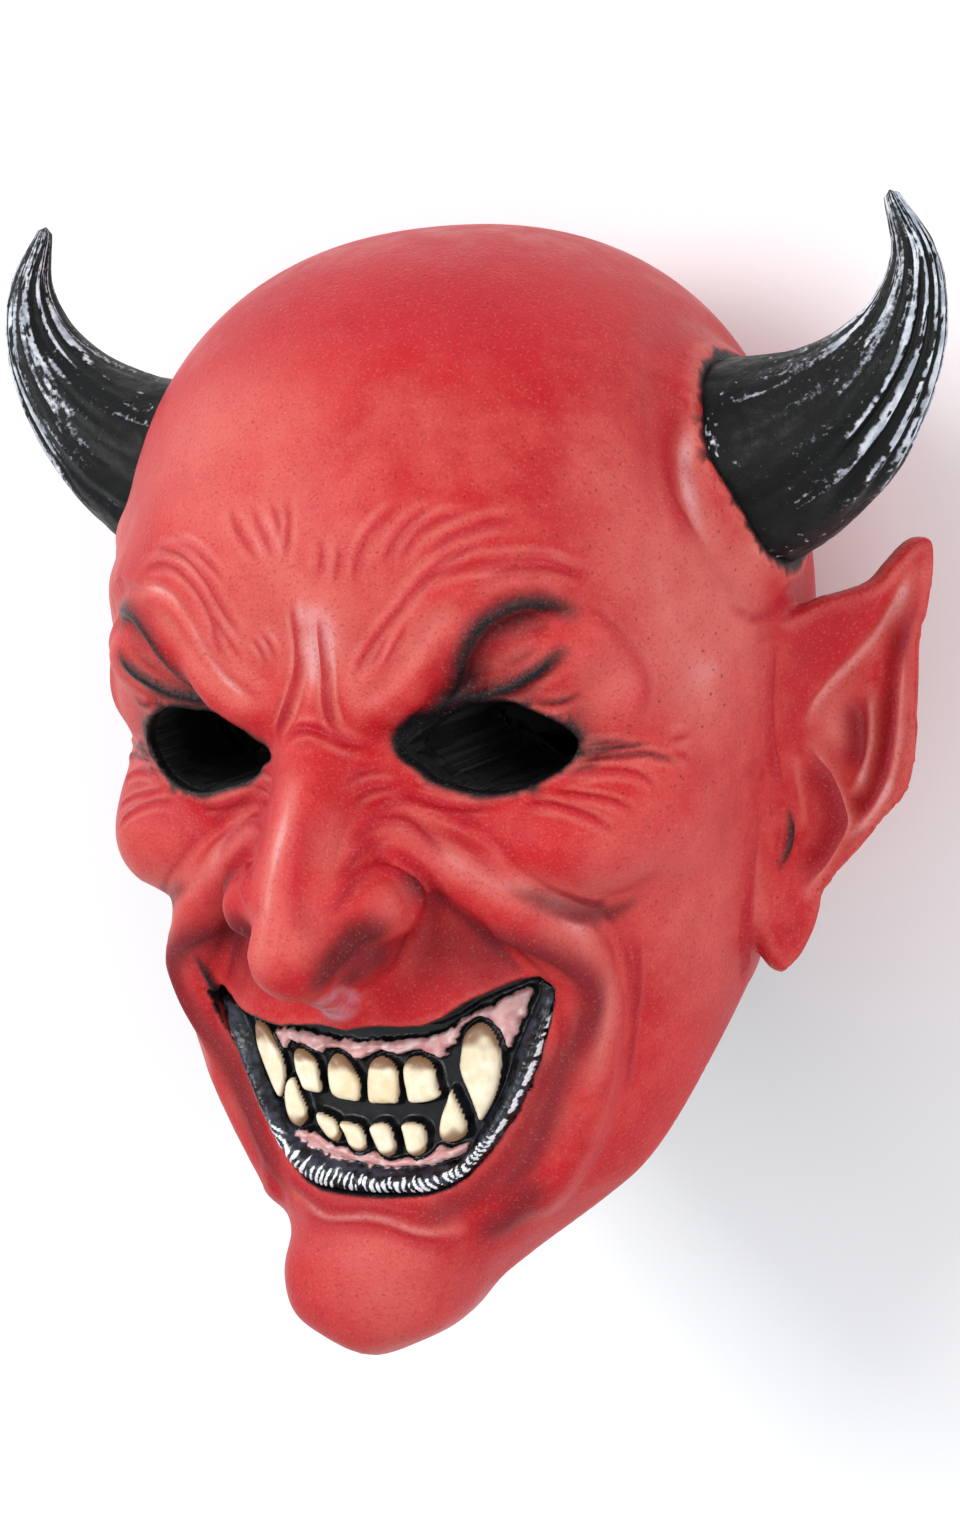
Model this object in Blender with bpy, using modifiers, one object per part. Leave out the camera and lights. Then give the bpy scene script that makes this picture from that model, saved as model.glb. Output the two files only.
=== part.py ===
# A devil overhead mask: one latex casting with horns, ears, eye holes and an open neck, lying on its back.
# Sizes are in millimetres of the head, turned into metres at the end: x across the face, y to the crown,
# z out of the face. It lies with z up, on a small flat spot at the back of the skull.
import bpy, bmesh, math
import numpy as np
from mathutils import Matrix, Vector

for old in list(bpy.data.objects):
    bpy.data.objects.remove(old, do_unlink=True)

WALL = 3.2            # thickness of the latex
FLAT_Z = -107.0       # plane of the flat spot at the back
MIDDLE_Y = -1.94       # head-frame height that becomes the part's y = 0
FAR_LIFT = 6.0        # the far horn of the casting stands a little higher

CRANIUM_AT, CRANIUM_R, CRANIUM_POWER = (0, 44, -9), (91, 101, 99), 2.25
LOFT_Y = [-153, -146, -134, -119, -107, -83, -63, -46, -28, -8, 15, 40, 62]      # heights of the face's stations
LOFT_W = [12, 23, 35, 51, 61, 71, 78, 83, 86, 88, 90, 90, 88]                    # half width at each
LOFT_F = [80, 84, 84, 80.5, 79, 77, 78, 77, 77, 77, 79, 82, 78]                    # front
LOFT_B = [44, 30, 4, -26, -44, -74, -90, -98, -104, -108, -108, -108, -100]      # back
LOFT_MIDDLE = 8.0

MOUTH_X = [0, 9, 18, 27, 36, 46, 53, 58]
MOUTH_TOP = [-61.3, -60.0, -60.3, -58.3, -54.5, -49.3, -46.5, -45]
MOUTH_LOW = [-100.6, -100.8, -99.8, -95.3, -83.0, -62.6, -47.0, -38]

# rows of x, y, z and radius
HORN = [(74, 74, -12, 30), (92, 78, -12, 28), (109.5, 86, -10, 23), (124.5, 98.5, -9, 16.5), (134, 113, -9, 11), (136.5, 129, -10, 6.4), (131, 145, -11, 2.2)]
BROW = [(4, 24, 83, 6), (13, 25.5, 83, 8), (25, 31, 84, 8.5), (36, 43, 82, 8), (47, 53, 76, 8), (60, 57, 66, 8), (71, 53, 53, 7), (78, 42, 42, 5)]
NOSE_BASE = [(0, 16, 76, 11), (0, -2, 82, 16), (0, -22, 86, 21), (0, -30, 86, 20)]
NOSE_RIDGE = [(0, 23, 83, 7), (0, 14, 87.5, 7.5), (0, 4, 94, 8), (0, -10, 100.5, 8.5), (0, -24, 106.5, 9.5), (0, -35, 110, 11)]
LOWER_LIP = [(0, -104.5, 76.5, 5), (13, -104, 76, 5), (25, -99.5, 74, 4.6), (34.5, -88, 70, 4.2), (43.5, -70, 66, 3.6), (51, -52, 62, 3)]
UPPER_TEETH, LOWER_TEETH = (5.8, 17.5), (4.6, 12.8)          # their middles, either side of the face's own
SMILE_FOLD = [(15, -6, 84, 5), (25, -12, 82, 7), (36, -20, 77, 8), (48, -31, 69.5, 9), (56, -43, 61, 9.5), (57, -58, 55, 9), (54, -76, 52, 9), (48, -94, 52, 8), (38, -110, 56, 7)]
EYE_HOLE = [(18, 15.5), (33, 24), (47, 26.5), (58, 22), (64.2, 13.4), (60.5, 5.5), (52, 0.5), (42, -0.5), (30, 3.5), (22, 9.5)]

EAR_AT = np.array([92.0, 0.0, -10.0])
EAR_U, EAR_V, EAR_N = np.array([0.60, 0, -0.80]), np.array([0, 1.0, 0]), np.array([0.80, 0, 0.60])
EAR_EDGE = [(-14, 26), (0, 34), (13.5, 38.5), (18, 39), (28.5, 41), (34, 45.5), (40, 50.5), (44.5, 51.8), (47.5, 50), (47.8, 44), (45.5, 30), (42.9, 24), (41.5, 9), (39.7, -10), (36, -20), (28, -27.5), (21, -34), (11, -40.5), (6.5, -47.5), (3, -54), (-2.5, -60.5), (-10, -62), (-17, -40)]
EAR_MIDDLE = (16.0, -4.0)

# the neck opening, seen from the side as z, y: under the chin, up behind the jaw, round the nape
NECK = [(54, -190), (51, -146), (40, -131), (20, -105), (5, -86), (-10, -73), (-22, -69), (-60, -62), (-95, -58), (-140, -57), (-140, -190)]


# ---------------------------------------------------------------- distance-field functions
def smin(a, b, k):
    h = np.clip(0.5 + 0.5 * (b - a) / k, 0, 1)
    return b * (1 - h) + a * h - k * h * (1 - h)


def smax(a, b, k):
    return -smin(-a, -b, k)


def spline(rows, n):
    """n points along the smooth curve through the rows."""
    P = np.array(rows, float)
    P = np.vstack([2 * P[0] - P[1], P, 2 * P[-1] - P[-2]])
    t = np.linspace(0, len(P) - 3 - 1e-9, n)
    i = t.astype(int)
    u = (t - i)[:, None]
    a, b, c, d = P[i], P[i + 1], P[i + 2], P[i + 3]
    return 0.5 * (2 * b + (c - a) * u + (2 * a - 5 * b + 4 * c - d) * u**2 + (3 * b - a - 3 * c + d) * u**3)


def station(y, values):
    S = spline(np.column_stack([LOFT_Y, values]), 240)
    S = S[np.argsort(S[:, 0])]
    return np.interp(y, S[:, 0], S[:, 1])


def ellipsoid(q, centre, radii, power=2.0):
    d = np.abs(q - np.array(centre, float))
    r = np.array(radii, float)
    k0 = ((d / r) ** power).sum(1) ** (1 / power) + 1e-9
    g = (d / r) ** (power - 1) / r * k0[:, None] ** (1 - power)
    return (k0 - 1) / (np.sqrt((g * g).sum(1)) + 1e-6)


def tube(q, rows, n=16):
    S = spline(rows, n)
    best = np.full(len(q), 1e9)
    for a, b in zip(S[:-1], S[1:]):
        ab = b[:3] - a[:3]
        t = np.clip(((q - a[:3]) @ ab) / (ab @ ab + 1e-9), 0, 1)
        best = np.minimum(best, np.sqrt((((q - a[:3]) - t[:, None] * ab) ** 2).sum(1)) - (a[3] + t * (b[3] - a[3])))
    return best


def head(p, teeth=True):
    """Skull and face, negative inside, without ears and horns."""
    x, y, z = np.abs(p[:, 0]), p[:, 1], p[:, 2]
    q = np.column_stack([x, y, z])
    skull = ellipsoid(q, CRANIUM_AT, CRANIUM_R, CRANIUM_POWER)
    W, F, B = station(y, LOFT_W), station(y, LOFT_F), station(y, LOFT_B)
    D = np.maximum(np.where(z > LOFT_MIDDLE, F - LOFT_MIDDLE, LOFT_MIDDLE - B), 6)
    g = np.sqrt((x / W) ** 2 + ((z - LOFT_MIDDLE) / D) ** 2) + 1e-6
    face = np.hypot(x, z - LOFT_MIDDLE) * (1 - 1 / g) * 0.9
    face = smax(smax(face, -(y + 152), 12), y - 66, 10)
    d = smin(skull, face, 16)
    d = smax(d, -ellipsoid(q, (43, 24, 92), (26, 17, 17)), 8)          # eye socket
    d = smin(d, tube(q, BROW, 18), 6)
    d = smin(d, ellipsoid(q, (22, 64, 62), (30, 24, 27)), 20)          # brow boss
    d = smin(d, ellipsoid(q, (57, 37, 59), (19, 13, 16)), 4)           # eyelid
    d = smin(d, ellipsoid(q, (70, 27, 46), (12, 15, 15)), 6)
    d = smin(d, ellipsoid(q, (55, -14, 55), (25, 18, 23)), 6)          # cheek
    d = smin(d, ellipsoid(q, (71, -8, 36), (16, 17, 24)), 10)
    d = smin(d, tube(q, NOSE_BASE, 8), 8)
    d = smin(d, tube(q, NOSE_RIDGE, 12), 8)
    d = smin(d, ellipsoid(q, (18.5, -25.5, 90), (9.5, 9, 12.5)), 3)    # wing of the nose
    d = smin(d, tube(q, [(7, -22, 101, 8.5), (16, -24.5, 94, 8)], 4), 5)
    d = smin(d, tube(q, [(0, -39, 108, 7), (0, -47, 96, 5), (0, -54, 82, 5)], 6), 5)
    d = smin(d, ellipsoid(q, (0, -57, 62), (44, 22, 21)), 10)          # upper lip
    d = smin(d, tube(q, SMILE_FOLD, 18), 5)
    d = smin(d, ellipsoid(q, (0, -132.4, 68), (26.5, 17, 18)), 12)          # chin
    top, low = np.interp(x, MOUTH_X, MOUTH_TOP), np.interp(x, MOUTH_X, MOUTH_LOW)
    grin = np.maximum(np.maximum(np.maximum(y - top, low - y), 75.5 - 0.0055 * x * x - z), x - 56)
    d = smax(d, -grin, 2)                                              # the teeth stand back from the lips
    d = smin(d, tube(q, LOWER_LIP, 14), 2)
    for middle in UPPER_TEETH if teeth else ():
        d = smin(d, ellipsoid(q, (middle, -69, 75.5), (4.6, 7, 3.6)), 1)
    for middle in LOWER_TEETH if teeth else ():
        d = smin(d, ellipsoid(q, (middle, -91, 75), (3.4, 4.6, 3.2)), 1)
    d = smin(d, tube(q, [(33, -62, 70, 5.4), (32, -72, 71.5, 4.6), (29.5, -84, 73.5, 1.6)], 6), 1)     # the fangs
    d = smin(d, tube(q, [(23, -93, 72.5, 4.2), (24.5, -79, 74.5, 1.4)], 4), 1)
    return np.maximum(d, FLAT_Z - 0.5 - z)


# ---------------------------------------------------------------- shapes made from primitives
def new_object(name, bm, kept=False):
    mesh = bpy.data.meshes.new(name)
    bmesh.ops.recalc_face_normals(bm, faces=bm.faces[:])
    bm.to_mesh(mesh)
    bm.free()
    ob = bpy.data.objects.new(name, mesh)
    (mask_parts if kept else helpers).objects.link(ob)
    if not kept:
        ob.display_type = "WIRE"
        ob.hide_render = True
    return ob


def ball(across, along):
    """A UV sphere's mesh, its points as unit vectors."""
    bm = bmesh.new()
    bmesh.ops.create_uvsphere(bm, u_segments=across, v_segments=along, radius=1)
    bm.verts.ensure_lookup_table()
    return bm, np.array([v.co[:] for v in bm.verts])


def place(bm, P):
    for v, co in zip(bm.verts, P):
        v.co = Vector(co) / 1000


def cast(level):
    """The head, or with level = -WALL its hollow: a fine ball with each point slid in along its ray to the field."""
    bm = bmesh.new()
    bmesh.ops.create_icosphere(bm, subdivisions=7, radius=1)
    D = np.array([v.co[:] for v in bm.verts])
    D[:, 2] += 0.28                                    # points crowd towards the face
    D /= np.linalg.norm(D, axis=1)[:, None]
    # the long lower face is met square on: its rays start lower on the head's own axis
    low = np.minimum(D[:, 1], 0)
    start = np.column_stack([np.zeros(len(D)), 88 * low, 4 + 30 * low**2])
    t = np.full(len(D), 165.0)
    for _ in range(34):
        t -= 0.75 * np.clip(head(start + D * t[:, None], level == 0) - level, -4, 40)
    place(bm, start + D * t[:, None])
    return bm


def horn(side):
    """Tapered and curved, with lengthwise grooves on the outer side. Latitude runs along it and longitude round it."""
    bm, D = ball(40, 48)
    along = np.arccos(np.clip(D[:, 2], -1, 1)) / math.pi
    turn = np.arctan2(D[:, 1], D[:, 0])
    rows = spline(HORN, 200)
    at = np.clip((along * 199), 0, 199).astype(int)
    C, R = rows[at, :3], rows[at, 3]
    T = np.gradient(rows[:, :3], axis=0)[at]
    T /= np.linalg.norm(T, axis=1)[:, None]
    N = np.cross(T, [0, 0, 1.0])
    N /= np.linalg.norm(N, axis=1)[:, None]
    B = np.cross(T, N)
    groove = 1 - 0.07 * np.clip(np.cos(5 * turn), 0, 1) * np.exp(-(((along - 0.55) / 0.3) ** 2)) * (np.cos(turn) > -0.2)
    cap = np.where((along < 1e-4) | (along > 1 - 1e-4), 0, 1)
    P = C + (N * np.cos(turn)[:, None] + B * np.sin(turn)[:, None]) * (R * groove * cap)[:, None]
    if side < 0:
        P[:, 1] += FAR_LIFT * np.clip((P[:, 0] - 85) / 45, 0, 1)
        P[:, 0] = -P[:, 0]
    place(bm, P)
    return bm


def ear(side):
    """A pointed leaf, thick in the middle and dished, from a sphere flattened on to the ear's own plane."""
    bm, D = ball(96, 20)
    edge = spline(EAR_EDGE + EAR_EDGE[:1], 400)[:-1] - np.array(EAR_MIDDLE)
    angle, reach = np.arctan2(edge[:, 1], edge[:, 0]), np.hypot(edge[:, 0], edge[:, 1])
    order = np.argsort(angle)
    polar = np.arccos(np.clip(D[:, 2], -1, 1))
    turn = np.arctan2(D[:, 1], D[:, 0])
    r = np.interp(turn, angle[order], reach[order], period=2 * math.pi) * np.sin(polar) ** 0.8
    u, v = EAR_MIDDLE[0] + r * np.cos(turn), EAR_MIDDLE[1] + r * np.sin(turn)
    dish = -5.0 * np.exp(-(((u - 18) / 17) ** 2) - ((v + 6) / 30) ** 2) + 0.0022 * (u - 10) ** 2 * (u > 10)
    n = dish + 3.6 * np.cos(polar)
    P = EAR_AT + u[:, None] * EAR_U + v[:, None] * EAR_V + n[:, None] * EAR_N
    P[:, 0] *= side
    place(bm, P)
    return bm


def outline_cutter(name, points, depth, matrix):
    """A flat outline as a filled 2D curve, extruded by half its depth each way."""
    curve = bpy.data.curves.new(name, "CURVE")
    curve.dimensions, curve.fill_mode, curve.extrude = "2D", "BOTH", depth / 2000
    line = curve.splines.new("POLY")
    line.points.add(len(points) - 1)
    for point, (a, b) in zip(line.points, points):
        point.co = (a / 1000, b / 1000, 0, 1)
    line.use_cyclic_u = True
    drawn = bpy.data.objects.new(name + "_outline", curve)
    helpers.objects.link(drawn)
    drawn.display_type, drawn.hide_render = "WIRE", True
    bpy.context.view_layer.update()
    mesh = bpy.data.meshes.new_from_object(drawn.evaluated_get(bpy.context.evaluated_depsgraph_get()))
    bm = bmesh.new()
    bm.from_mesh(mesh)
    bpy.data.objects.remove(drawn, do_unlink=True)
    bmesh.ops.remove_doubles(bm, verts=bm.verts[:], dist=1e-6)
    bmesh.ops.transform(bm, matrix=matrix, verts=bm.verts[:])
    return new_object(name, bm)


def boolean(ob, other, operation):
    step = ob.modifiers.new(other.name, "BOOLEAN")
    step.operation, step.object, step.solver = operation, other, "EXACT"


mask_parts = bpy.data.collections.new("devil_overhead_mask")
helpers = bpy.data.collections.new("helpers")
bpy.context.scene.collection.children.link(mask_parts)
bpy.context.scene.collection.children.link(helpers)

def melt(ob, faces):
    """Overlapping closed shapes become one skin, then only the faces that its carving needs."""
    skin = ob.modifiers.new("one_skin", "REMESH")
    skin.mode, skin.voxel_size, skin.adaptivity = "VOXEL", 0.0021, 0
    bpy.context.view_layer.update()
    found = len(ob.evaluated_get(bpy.context.evaluated_depsgraph_get()).data.loop_triangles)
    fewer = ob.modifiers.new("fewer_faces", "DECIMATE")
    fewer.ratio = faces / found


whole = cast(0.0)
for side in (1, -1):
    for piece in (ear(side), horn(side)):
        if side < 0:
            bmesh.ops.reverse_faces(piece, faces=piece.faces[:])
        shape = bpy.data.meshes.new("shape")
        piece.to_mesh(shape)
        piece.free()
        whole.from_mesh(shape)
mask = new_object("devil_mask", whole, kept=True)
melt(mask, 6400)
hollow = new_object("hollow", cast(-WALL))
melt(hollow, 3000)
boolean(mask, hollow, "DIFFERENCE")
side_view = Matrix(((0, 0, 1, 0), (0, 1, 0, 0), (1, 0, 0, 0), (0, 0, 0, 1)))      # draws z across and y up, through x
boolean(mask, outline_cutter("neck_opening", spline(NECK, 40), 400, side_view), "DIFFERENCE")
for side, name in ((1, "eye_hole_left"), (-1, "eye_hole_right")):
    line = spline(EYE_HOLE + EYE_HOLE[:1], 31)[:-1] * (side, 1)
    boolean(mask, outline_cutter(name, line, 80, Matrix.Translation((0, 0, 0.078))), "DIFFERENCE")
back = bmesh.new()
bmesh.ops.create_cube(back, size=0.4)
bmesh.ops.translate(back, verts=back.verts[:], vec=(0, 0, FLAT_Z / 1000 - 0.2))
boolean(mask, new_object("flat_spot", back), "DIFFERENCE")

red = bpy.data.materials.new("painted_latex")
red.use_nodes = True
shader = red.node_tree.nodes["Principled BSDF"]
shader.inputs["Base Color"].default_value = (0.58, 0.035, 0.04, 1)
shader.inputs["Roughness"].default_value = 0.55
shader.inputs["Metallic"].default_value = 0.0
mask.data.materials.append(red)

# the part's frame: the flat spot is z = 0, and the middle of the box is x = y = 0
for ob in list(mask_parts.objects) + list(helpers.objects):
    ob.location = (0, -MIDDLE_Y / 1000, -FLAT_Z / 1000)
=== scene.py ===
import bpy, bmesh, math, time
import numpy as np
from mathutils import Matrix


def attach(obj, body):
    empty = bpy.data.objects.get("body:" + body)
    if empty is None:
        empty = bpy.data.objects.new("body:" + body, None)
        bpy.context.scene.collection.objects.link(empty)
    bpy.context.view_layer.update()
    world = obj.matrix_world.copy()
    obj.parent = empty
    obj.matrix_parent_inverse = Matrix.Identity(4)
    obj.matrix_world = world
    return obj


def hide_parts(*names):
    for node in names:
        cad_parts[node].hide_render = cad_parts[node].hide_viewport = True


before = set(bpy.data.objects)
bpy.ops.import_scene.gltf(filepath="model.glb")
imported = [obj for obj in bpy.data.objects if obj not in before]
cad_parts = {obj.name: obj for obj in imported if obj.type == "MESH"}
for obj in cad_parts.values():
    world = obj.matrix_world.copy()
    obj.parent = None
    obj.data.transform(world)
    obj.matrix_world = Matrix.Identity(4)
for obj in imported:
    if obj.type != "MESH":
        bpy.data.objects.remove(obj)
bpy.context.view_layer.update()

import openvdb
from mathutils import Matrix, Vector
from mathutils.bvhtree import BVHTree
from mathutils.kdtree import KDTree

# Shapes are worked out in millimetres of the head: x to the wearer's left, y to the crown, z out of the face.
FLAT_Z = -107.0        # plane of the flat spot at the back, as in the solid
MIDDLE_Y = -1.94       # the part's y = 0
WALL = 3.0
FAR_LIFT = 6.0
_clock = time.time()


def note(text):
    print(f"[{time.time() - _clock:6.1f}s] {text}")


# ------------------------------------------------------------------ the camera, from the photograph's viewing angle
YAW, PITCH, ROLL = math.radians(27), math.radians(9), math.radians(4.5)
CAM_DIST, FOCAL_PX = 1100.0, 3927.0
AIM = np.array([2.8, -5.6, 0.0])
FRAME_W, FRAME_H = 960, 1536
C_BACK = np.array([math.sin(YAW) * math.cos(PITCH), math.sin(PITCH), math.cos(YAW) * math.cos(PITCH)])
_level = np.array([math.cos(YAW), 0, -math.sin(YAW)])
_upright = np.cross(C_BACK, _level)
C_RIGHT = _level * math.cos(ROLL) - _upright * math.sin(ROLL)
C_UP = _level * math.sin(ROLL) + _upright * math.cos(ROLL)
C_EYE = AIM + C_BACK * CAM_DIST


def sight(px, py):
    """Direction of the camera's sight through a point of the 960 x 1536 frame."""
    d = -C_BACK * FOCAL_PX + C_RIGHT * (px - FRAME_W / 2) + C_UP * (FRAME_H / 2 - py)
    return d / np.linalg.norm(d)


def part(P):
    """Head millimetres to the part's metres."""
    return (np.asarray(P, float) - (0, MIDDLE_Y, FLAT_Z)) / 1000


# ------------------------------------------------------------------ distance-field kit
def smin(a, b, k):
    h = np.clip(0.5 + 0.5 * (b - a) / k, 0, 1)
    return b * (1 - h) + a * h - k * h * (1 - h)


def smax(a, b, k):
    return -smin(-a, -b, k)


def spline(rows, n):
    P = np.array(rows, float)
    P = np.vstack([2 * P[0] - P[1], P, 2 * P[-1] - P[-2]])
    t = np.linspace(0, len(P) - 3 - 1e-9, n)
    i = t.astype(int)
    u = (t - i)[:, None]
    a, b, c, d = P[i], P[i + 1], P[i + 2], P[i + 3]
    return 0.5 * (2 * b + (c - a) * u + (2 * a - 5 * b + 4 * c - d) * u**2 + (3 * b - a - 3 * c + d) * u**3)


def loop_spline(rows, n):
    P = np.array(rows, float)
    m = len(P)
    t = np.linspace(0, m, n, endpoint=False)
    i = t.astype(int)
    u = (t - i)[:, None]
    a, b, c, d = P[(i - 1) % m], P[i % m], P[(i + 1) % m], P[(i + 2) % m]
    return 0.5 * (2 * b + (c - a) * u + (2 * a - 5 * b + 4 * c - d) * u**2 + (3 * b - a - 3 * c + d) * u**3)


def ramp(v, a, b):
    t = np.clip((v - a) / (b - a), 0, 1)
    return t * t * (3 - 2 * t)


def ellipsoid(q, centre, radii, power=2.0):
    d = np.abs(q - np.array(centre, float))
    r = np.array(radii, float)
    if power == 2.0:
        k0 = np.sqrt(((d / r) ** 2).sum(1)) + 1e-9
        return k0 * (k0 - 1) / (np.sqrt(((d / (r * r)) ** 2).sum(1)) + 1e-9)
    k0 = ((d / r) ** power).sum(1) ** (1 / power) + 1e-9
    g = (d / r) ** (power - 1) / r * k0[:, None] ** (1 - power)
    return (k0 - 1) / (np.sqrt((g * g).sum(1)) + 1e-6)


def tube(q, rows, n=16):
    S = spline(rows, n)
    best = np.full(len(q), 1e9)
    for a, b in zip(S[:-1], S[1:]):
        ab = b[:3] - a[:3]
        t = np.clip(((q - a[:3]) @ ab) / (ab @ ab + 1e-9), 0, 1)
        w = (q - a[:3]) - t[:, None] * ab
        best = np.minimum(best, np.sqrt((w * w).sum(1)) - (a[3] + t * (b[3] - a[3])))
    return best


def polygon(u, v, pts):
    """Signed distance to a closed outline in a plane, negative inside."""
    d = np.full(len(u), 1e18)
    s = np.ones(len(u))
    for i in range(len(pts)):
        a, b = pts[i], pts[i - 1]
        e = b - a
        wu, wv = u - a[0], v - a[1]
        t = np.clip((wu * e[0] + wv * e[1]) / (e @ e + 1e-9), 0, 1)
        du, dv = wu - e[0] * t, wv - e[1] * t
        d = np.minimum(d, du * du + dv * dv)
        c1, c2, c3 = v >= a[1], v < b[1], e[0] * wv > e[1] * wu
        s = np.where((c1 & c2 & c3) | (~c1 & ~c2 & ~c3), -s, s)
    return s * np.sqrt(d)


_dice = np.random.default_rng(7)
_lattice = _dice.random((32, 32, 32))


def noise(P, size, shift=0):
    """Smooth noise from -1 to 1 whose lumps are about size millimetres."""
    q = P / size + shift * 7.31 + 100
    i = np.floor(q).astype(int)
    f = q - i
    f = f * f * (3 - 2 * f)
    out = 0
    for dx in (0, 1):
        for dy in (0, 1):
            for dz in (0, 1):
                w = (f[:, 0] if dx else 1 - f[:, 0]) * (f[:, 1] if dy else 1 - f[:, 1]) * (f[:, 2] if dz else 1 - f[:, 2])
                out = out + w * _lattice[(i[:, 0] + dx) % 32, (i[:, 1] + dy) % 32, (i[:, 2] + dz) % 32]
    return out * 2 - 1


# ------------------------------------------------------------------ the head's large forms, as in the solid
LOFT_Y = [-153, -146, -134, -119, -107, -83, -63, -46, -28, -8, 15, 40, 62]
LOFT_W = [12, 23, 35, 51, 61, 71, 78, 83, 86, 88, 90, 90, 88]
LOFT_F = [80, 84, 84, 80.5, 79, 77, 78, 77, 77, 77, 79, 82, 78]
LOFT_B = [44, 30, 4, -26, -44, -74, -90, -98, -104, -108, -108, -108, -100]
_tables = {}


def station(y, name, values):
    if name not in _tables:
        S = spline(np.column_stack([LOFT_Y, values]), 240)
        _tables[name] = S[np.argsort(S[:, 0])]
    S = _tables[name]
    return np.interp(y, S[:, 0], S[:, 1])


HORN = [(74, 74, -12, 30), (92, 78, -12, 28), (109.5, 86, -10, 23), (124.5, 98.5, -9, 16.5), (134, 113, -9, 11), (136.5, 129, -10, 6.4), (131, 145, -11, 2.2)]
BROW = [(4, 24, 83, 6), (13, 25.5, 83, 8), (25, 31, 84, 8.5), (36, 43, 82, 8), (47, 53, 76, 8), (60, 57, 66, 8), (71, 53, 53, 7), (78, 42, 42, 5)]
NOSE_BASE = [(0, 16, 76, 11), (0, -2, 82, 16), (0, -22, 86, 21), (0, -30, 86, 20)]
NOSE_RIDGE = [(0, 23, 83, 7), (0, 14, 87.5, 7.5), (0, 4, 94, 8), (0, -10, 100.5, 8.5), (0, -24, 106.5, 9.5), (0, -35, 110, 11)]
SMILE_FOLD = [(15, -6, 84, 5), (25, -12, 82, 7), (36, -20, 77, 8), (48, -31, 69.5, 9), (56, -43, 61, 9.5), (57, -58, 55, 9), (54, -76, 52, 9), (48, -94, 52, 8), (38, -110, 56, 7)]
EYE_HOLE = [(18, 15.5), (33, 24), (47, 26.5), (58, 22), (64.2, 13.4), (60.5, 5.5), (52, 0.5), (42, -0.5), (30, 3.5), (22, 9.5)]
MOUTH_X = [0, 4, 9, 16, 21.5, 26.5, 32, 38, 43.5, 49, 53, 56]
MOUTH_TOP = [-61.3, -60.5, -60.3, -60.6, -60.3, -58.3, -54.8, -52.4, -50.4, -49.8, -52.5, -53]
MOUTH_LOW = [-107.4, -107.4, -107.3, -107, -105.4, -102.3, -96, -87.5, -77, -63.8, -52.6, -45]
NECK = [(54, -190), (51, -146), (40, -131), (20, -105), (5, -86), (-10, -73), (-22, -69), (-60, -62), (-95, -58), (-140, -57), (-140, -190)]

EAR_AT = np.array([92.0, 0.0, -10.0])
EAR_U, EAR_V, EAR_N = np.array([0.60, 0, -0.80]), np.array([0, 1.0, 0]), np.array([0.80, 0, 0.60])
EAR_EDGE = [(-14, 26), (0, 34), (13.5, 38.5), (18, 39), (28.5, 41), (34, 45.5), (40, 50.5), (44.5, 51.8), (47.5, 50), (47.8, 44), (45.5, 30), (42.9, 24), (41.5, 9), (39.7, -10), (36, -20), (28, -27.5), (21, -34), (11, -40.5), (6.5, -47.5), (3, -54), (-2.5, -60.5), (-10, -62), (-17, -40)]


def folded(p):
    return np.column_stack([np.abs(p[:, 0]), p[:, 1], p[:, 2]])


def horn_field(p):
    """Distance to the horn, for the side of the head that each point is on, without the far horn's lift."""
    q = folded(p)
    out = np.full(len(q), 60.0)
    m = (q[:, 0] > 48) & (q[:, 1] > 20) & (q[:, 2] > -70) & (q[:, 2] < 45)
    if m.any():
        out[m] = np.minimum(tube(q[m], HORN, 24), 60)
    return out


def ear_field(p):
    q = folded(p) - EAR_AT
    u, v, n = q @ EAR_U, q @ EAR_V, q @ EAR_N
    out = np.full(len(q), 60.0)
    m = (u > -36) & (u < 64) & (np.abs(v) < 84) & (np.abs(n) < 34)
    if m.any():
        u, v, n = u[m], v[m], n[m]
        d2 = polygon(u, v, loop_spline(EAR_EDGE, 90))
        dish = -5.0 * np.exp(-(((u - 18) / 17) ** 2) - ((v + 6) / 30) ** 2) + 0.0022 * (u - 10) ** 2 * (u > 10)
        out[m] = np.minimum(smax(d2 + 0.6, np.abs(n - dish) - 3.6, 3.0), 60)
    return out


def head_field(p, hollow=False):
    q = folded(p)
    x, y, z = q.T
    skull = ellipsoid(q, (0, 44, -9), (91, 101, 99), 2.25)
    W, F, B = station(y, "w", LOFT_W), station(y, "f", LOFT_F), station(y, "b", LOFT_B)
    D = np.maximum(np.where(z > 8, F - 8, 8 - B), 6)
    g = np.sqrt((x / W) ** 2 + ((z - 8) / D) ** 2) + 1e-6
    face = np.hypot(x, z - 8) * (1 - 1 / g) * 0.9
    face = smax(smax(face, -(y + 152), 12), y - 66, 10)
    d = smin(skull, face, 16)
    m = (z > 8) & (y < 122) & (d < 60)
    if m.any():
        d[m] = face_field(q[m], d[m], hollow)
    return np.maximum(d, FLAT_Z - z)


def sunk(x):
    """Height of the recess floor behind the teeth."""
    return 70.5 - 0.0068 * x * x


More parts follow.
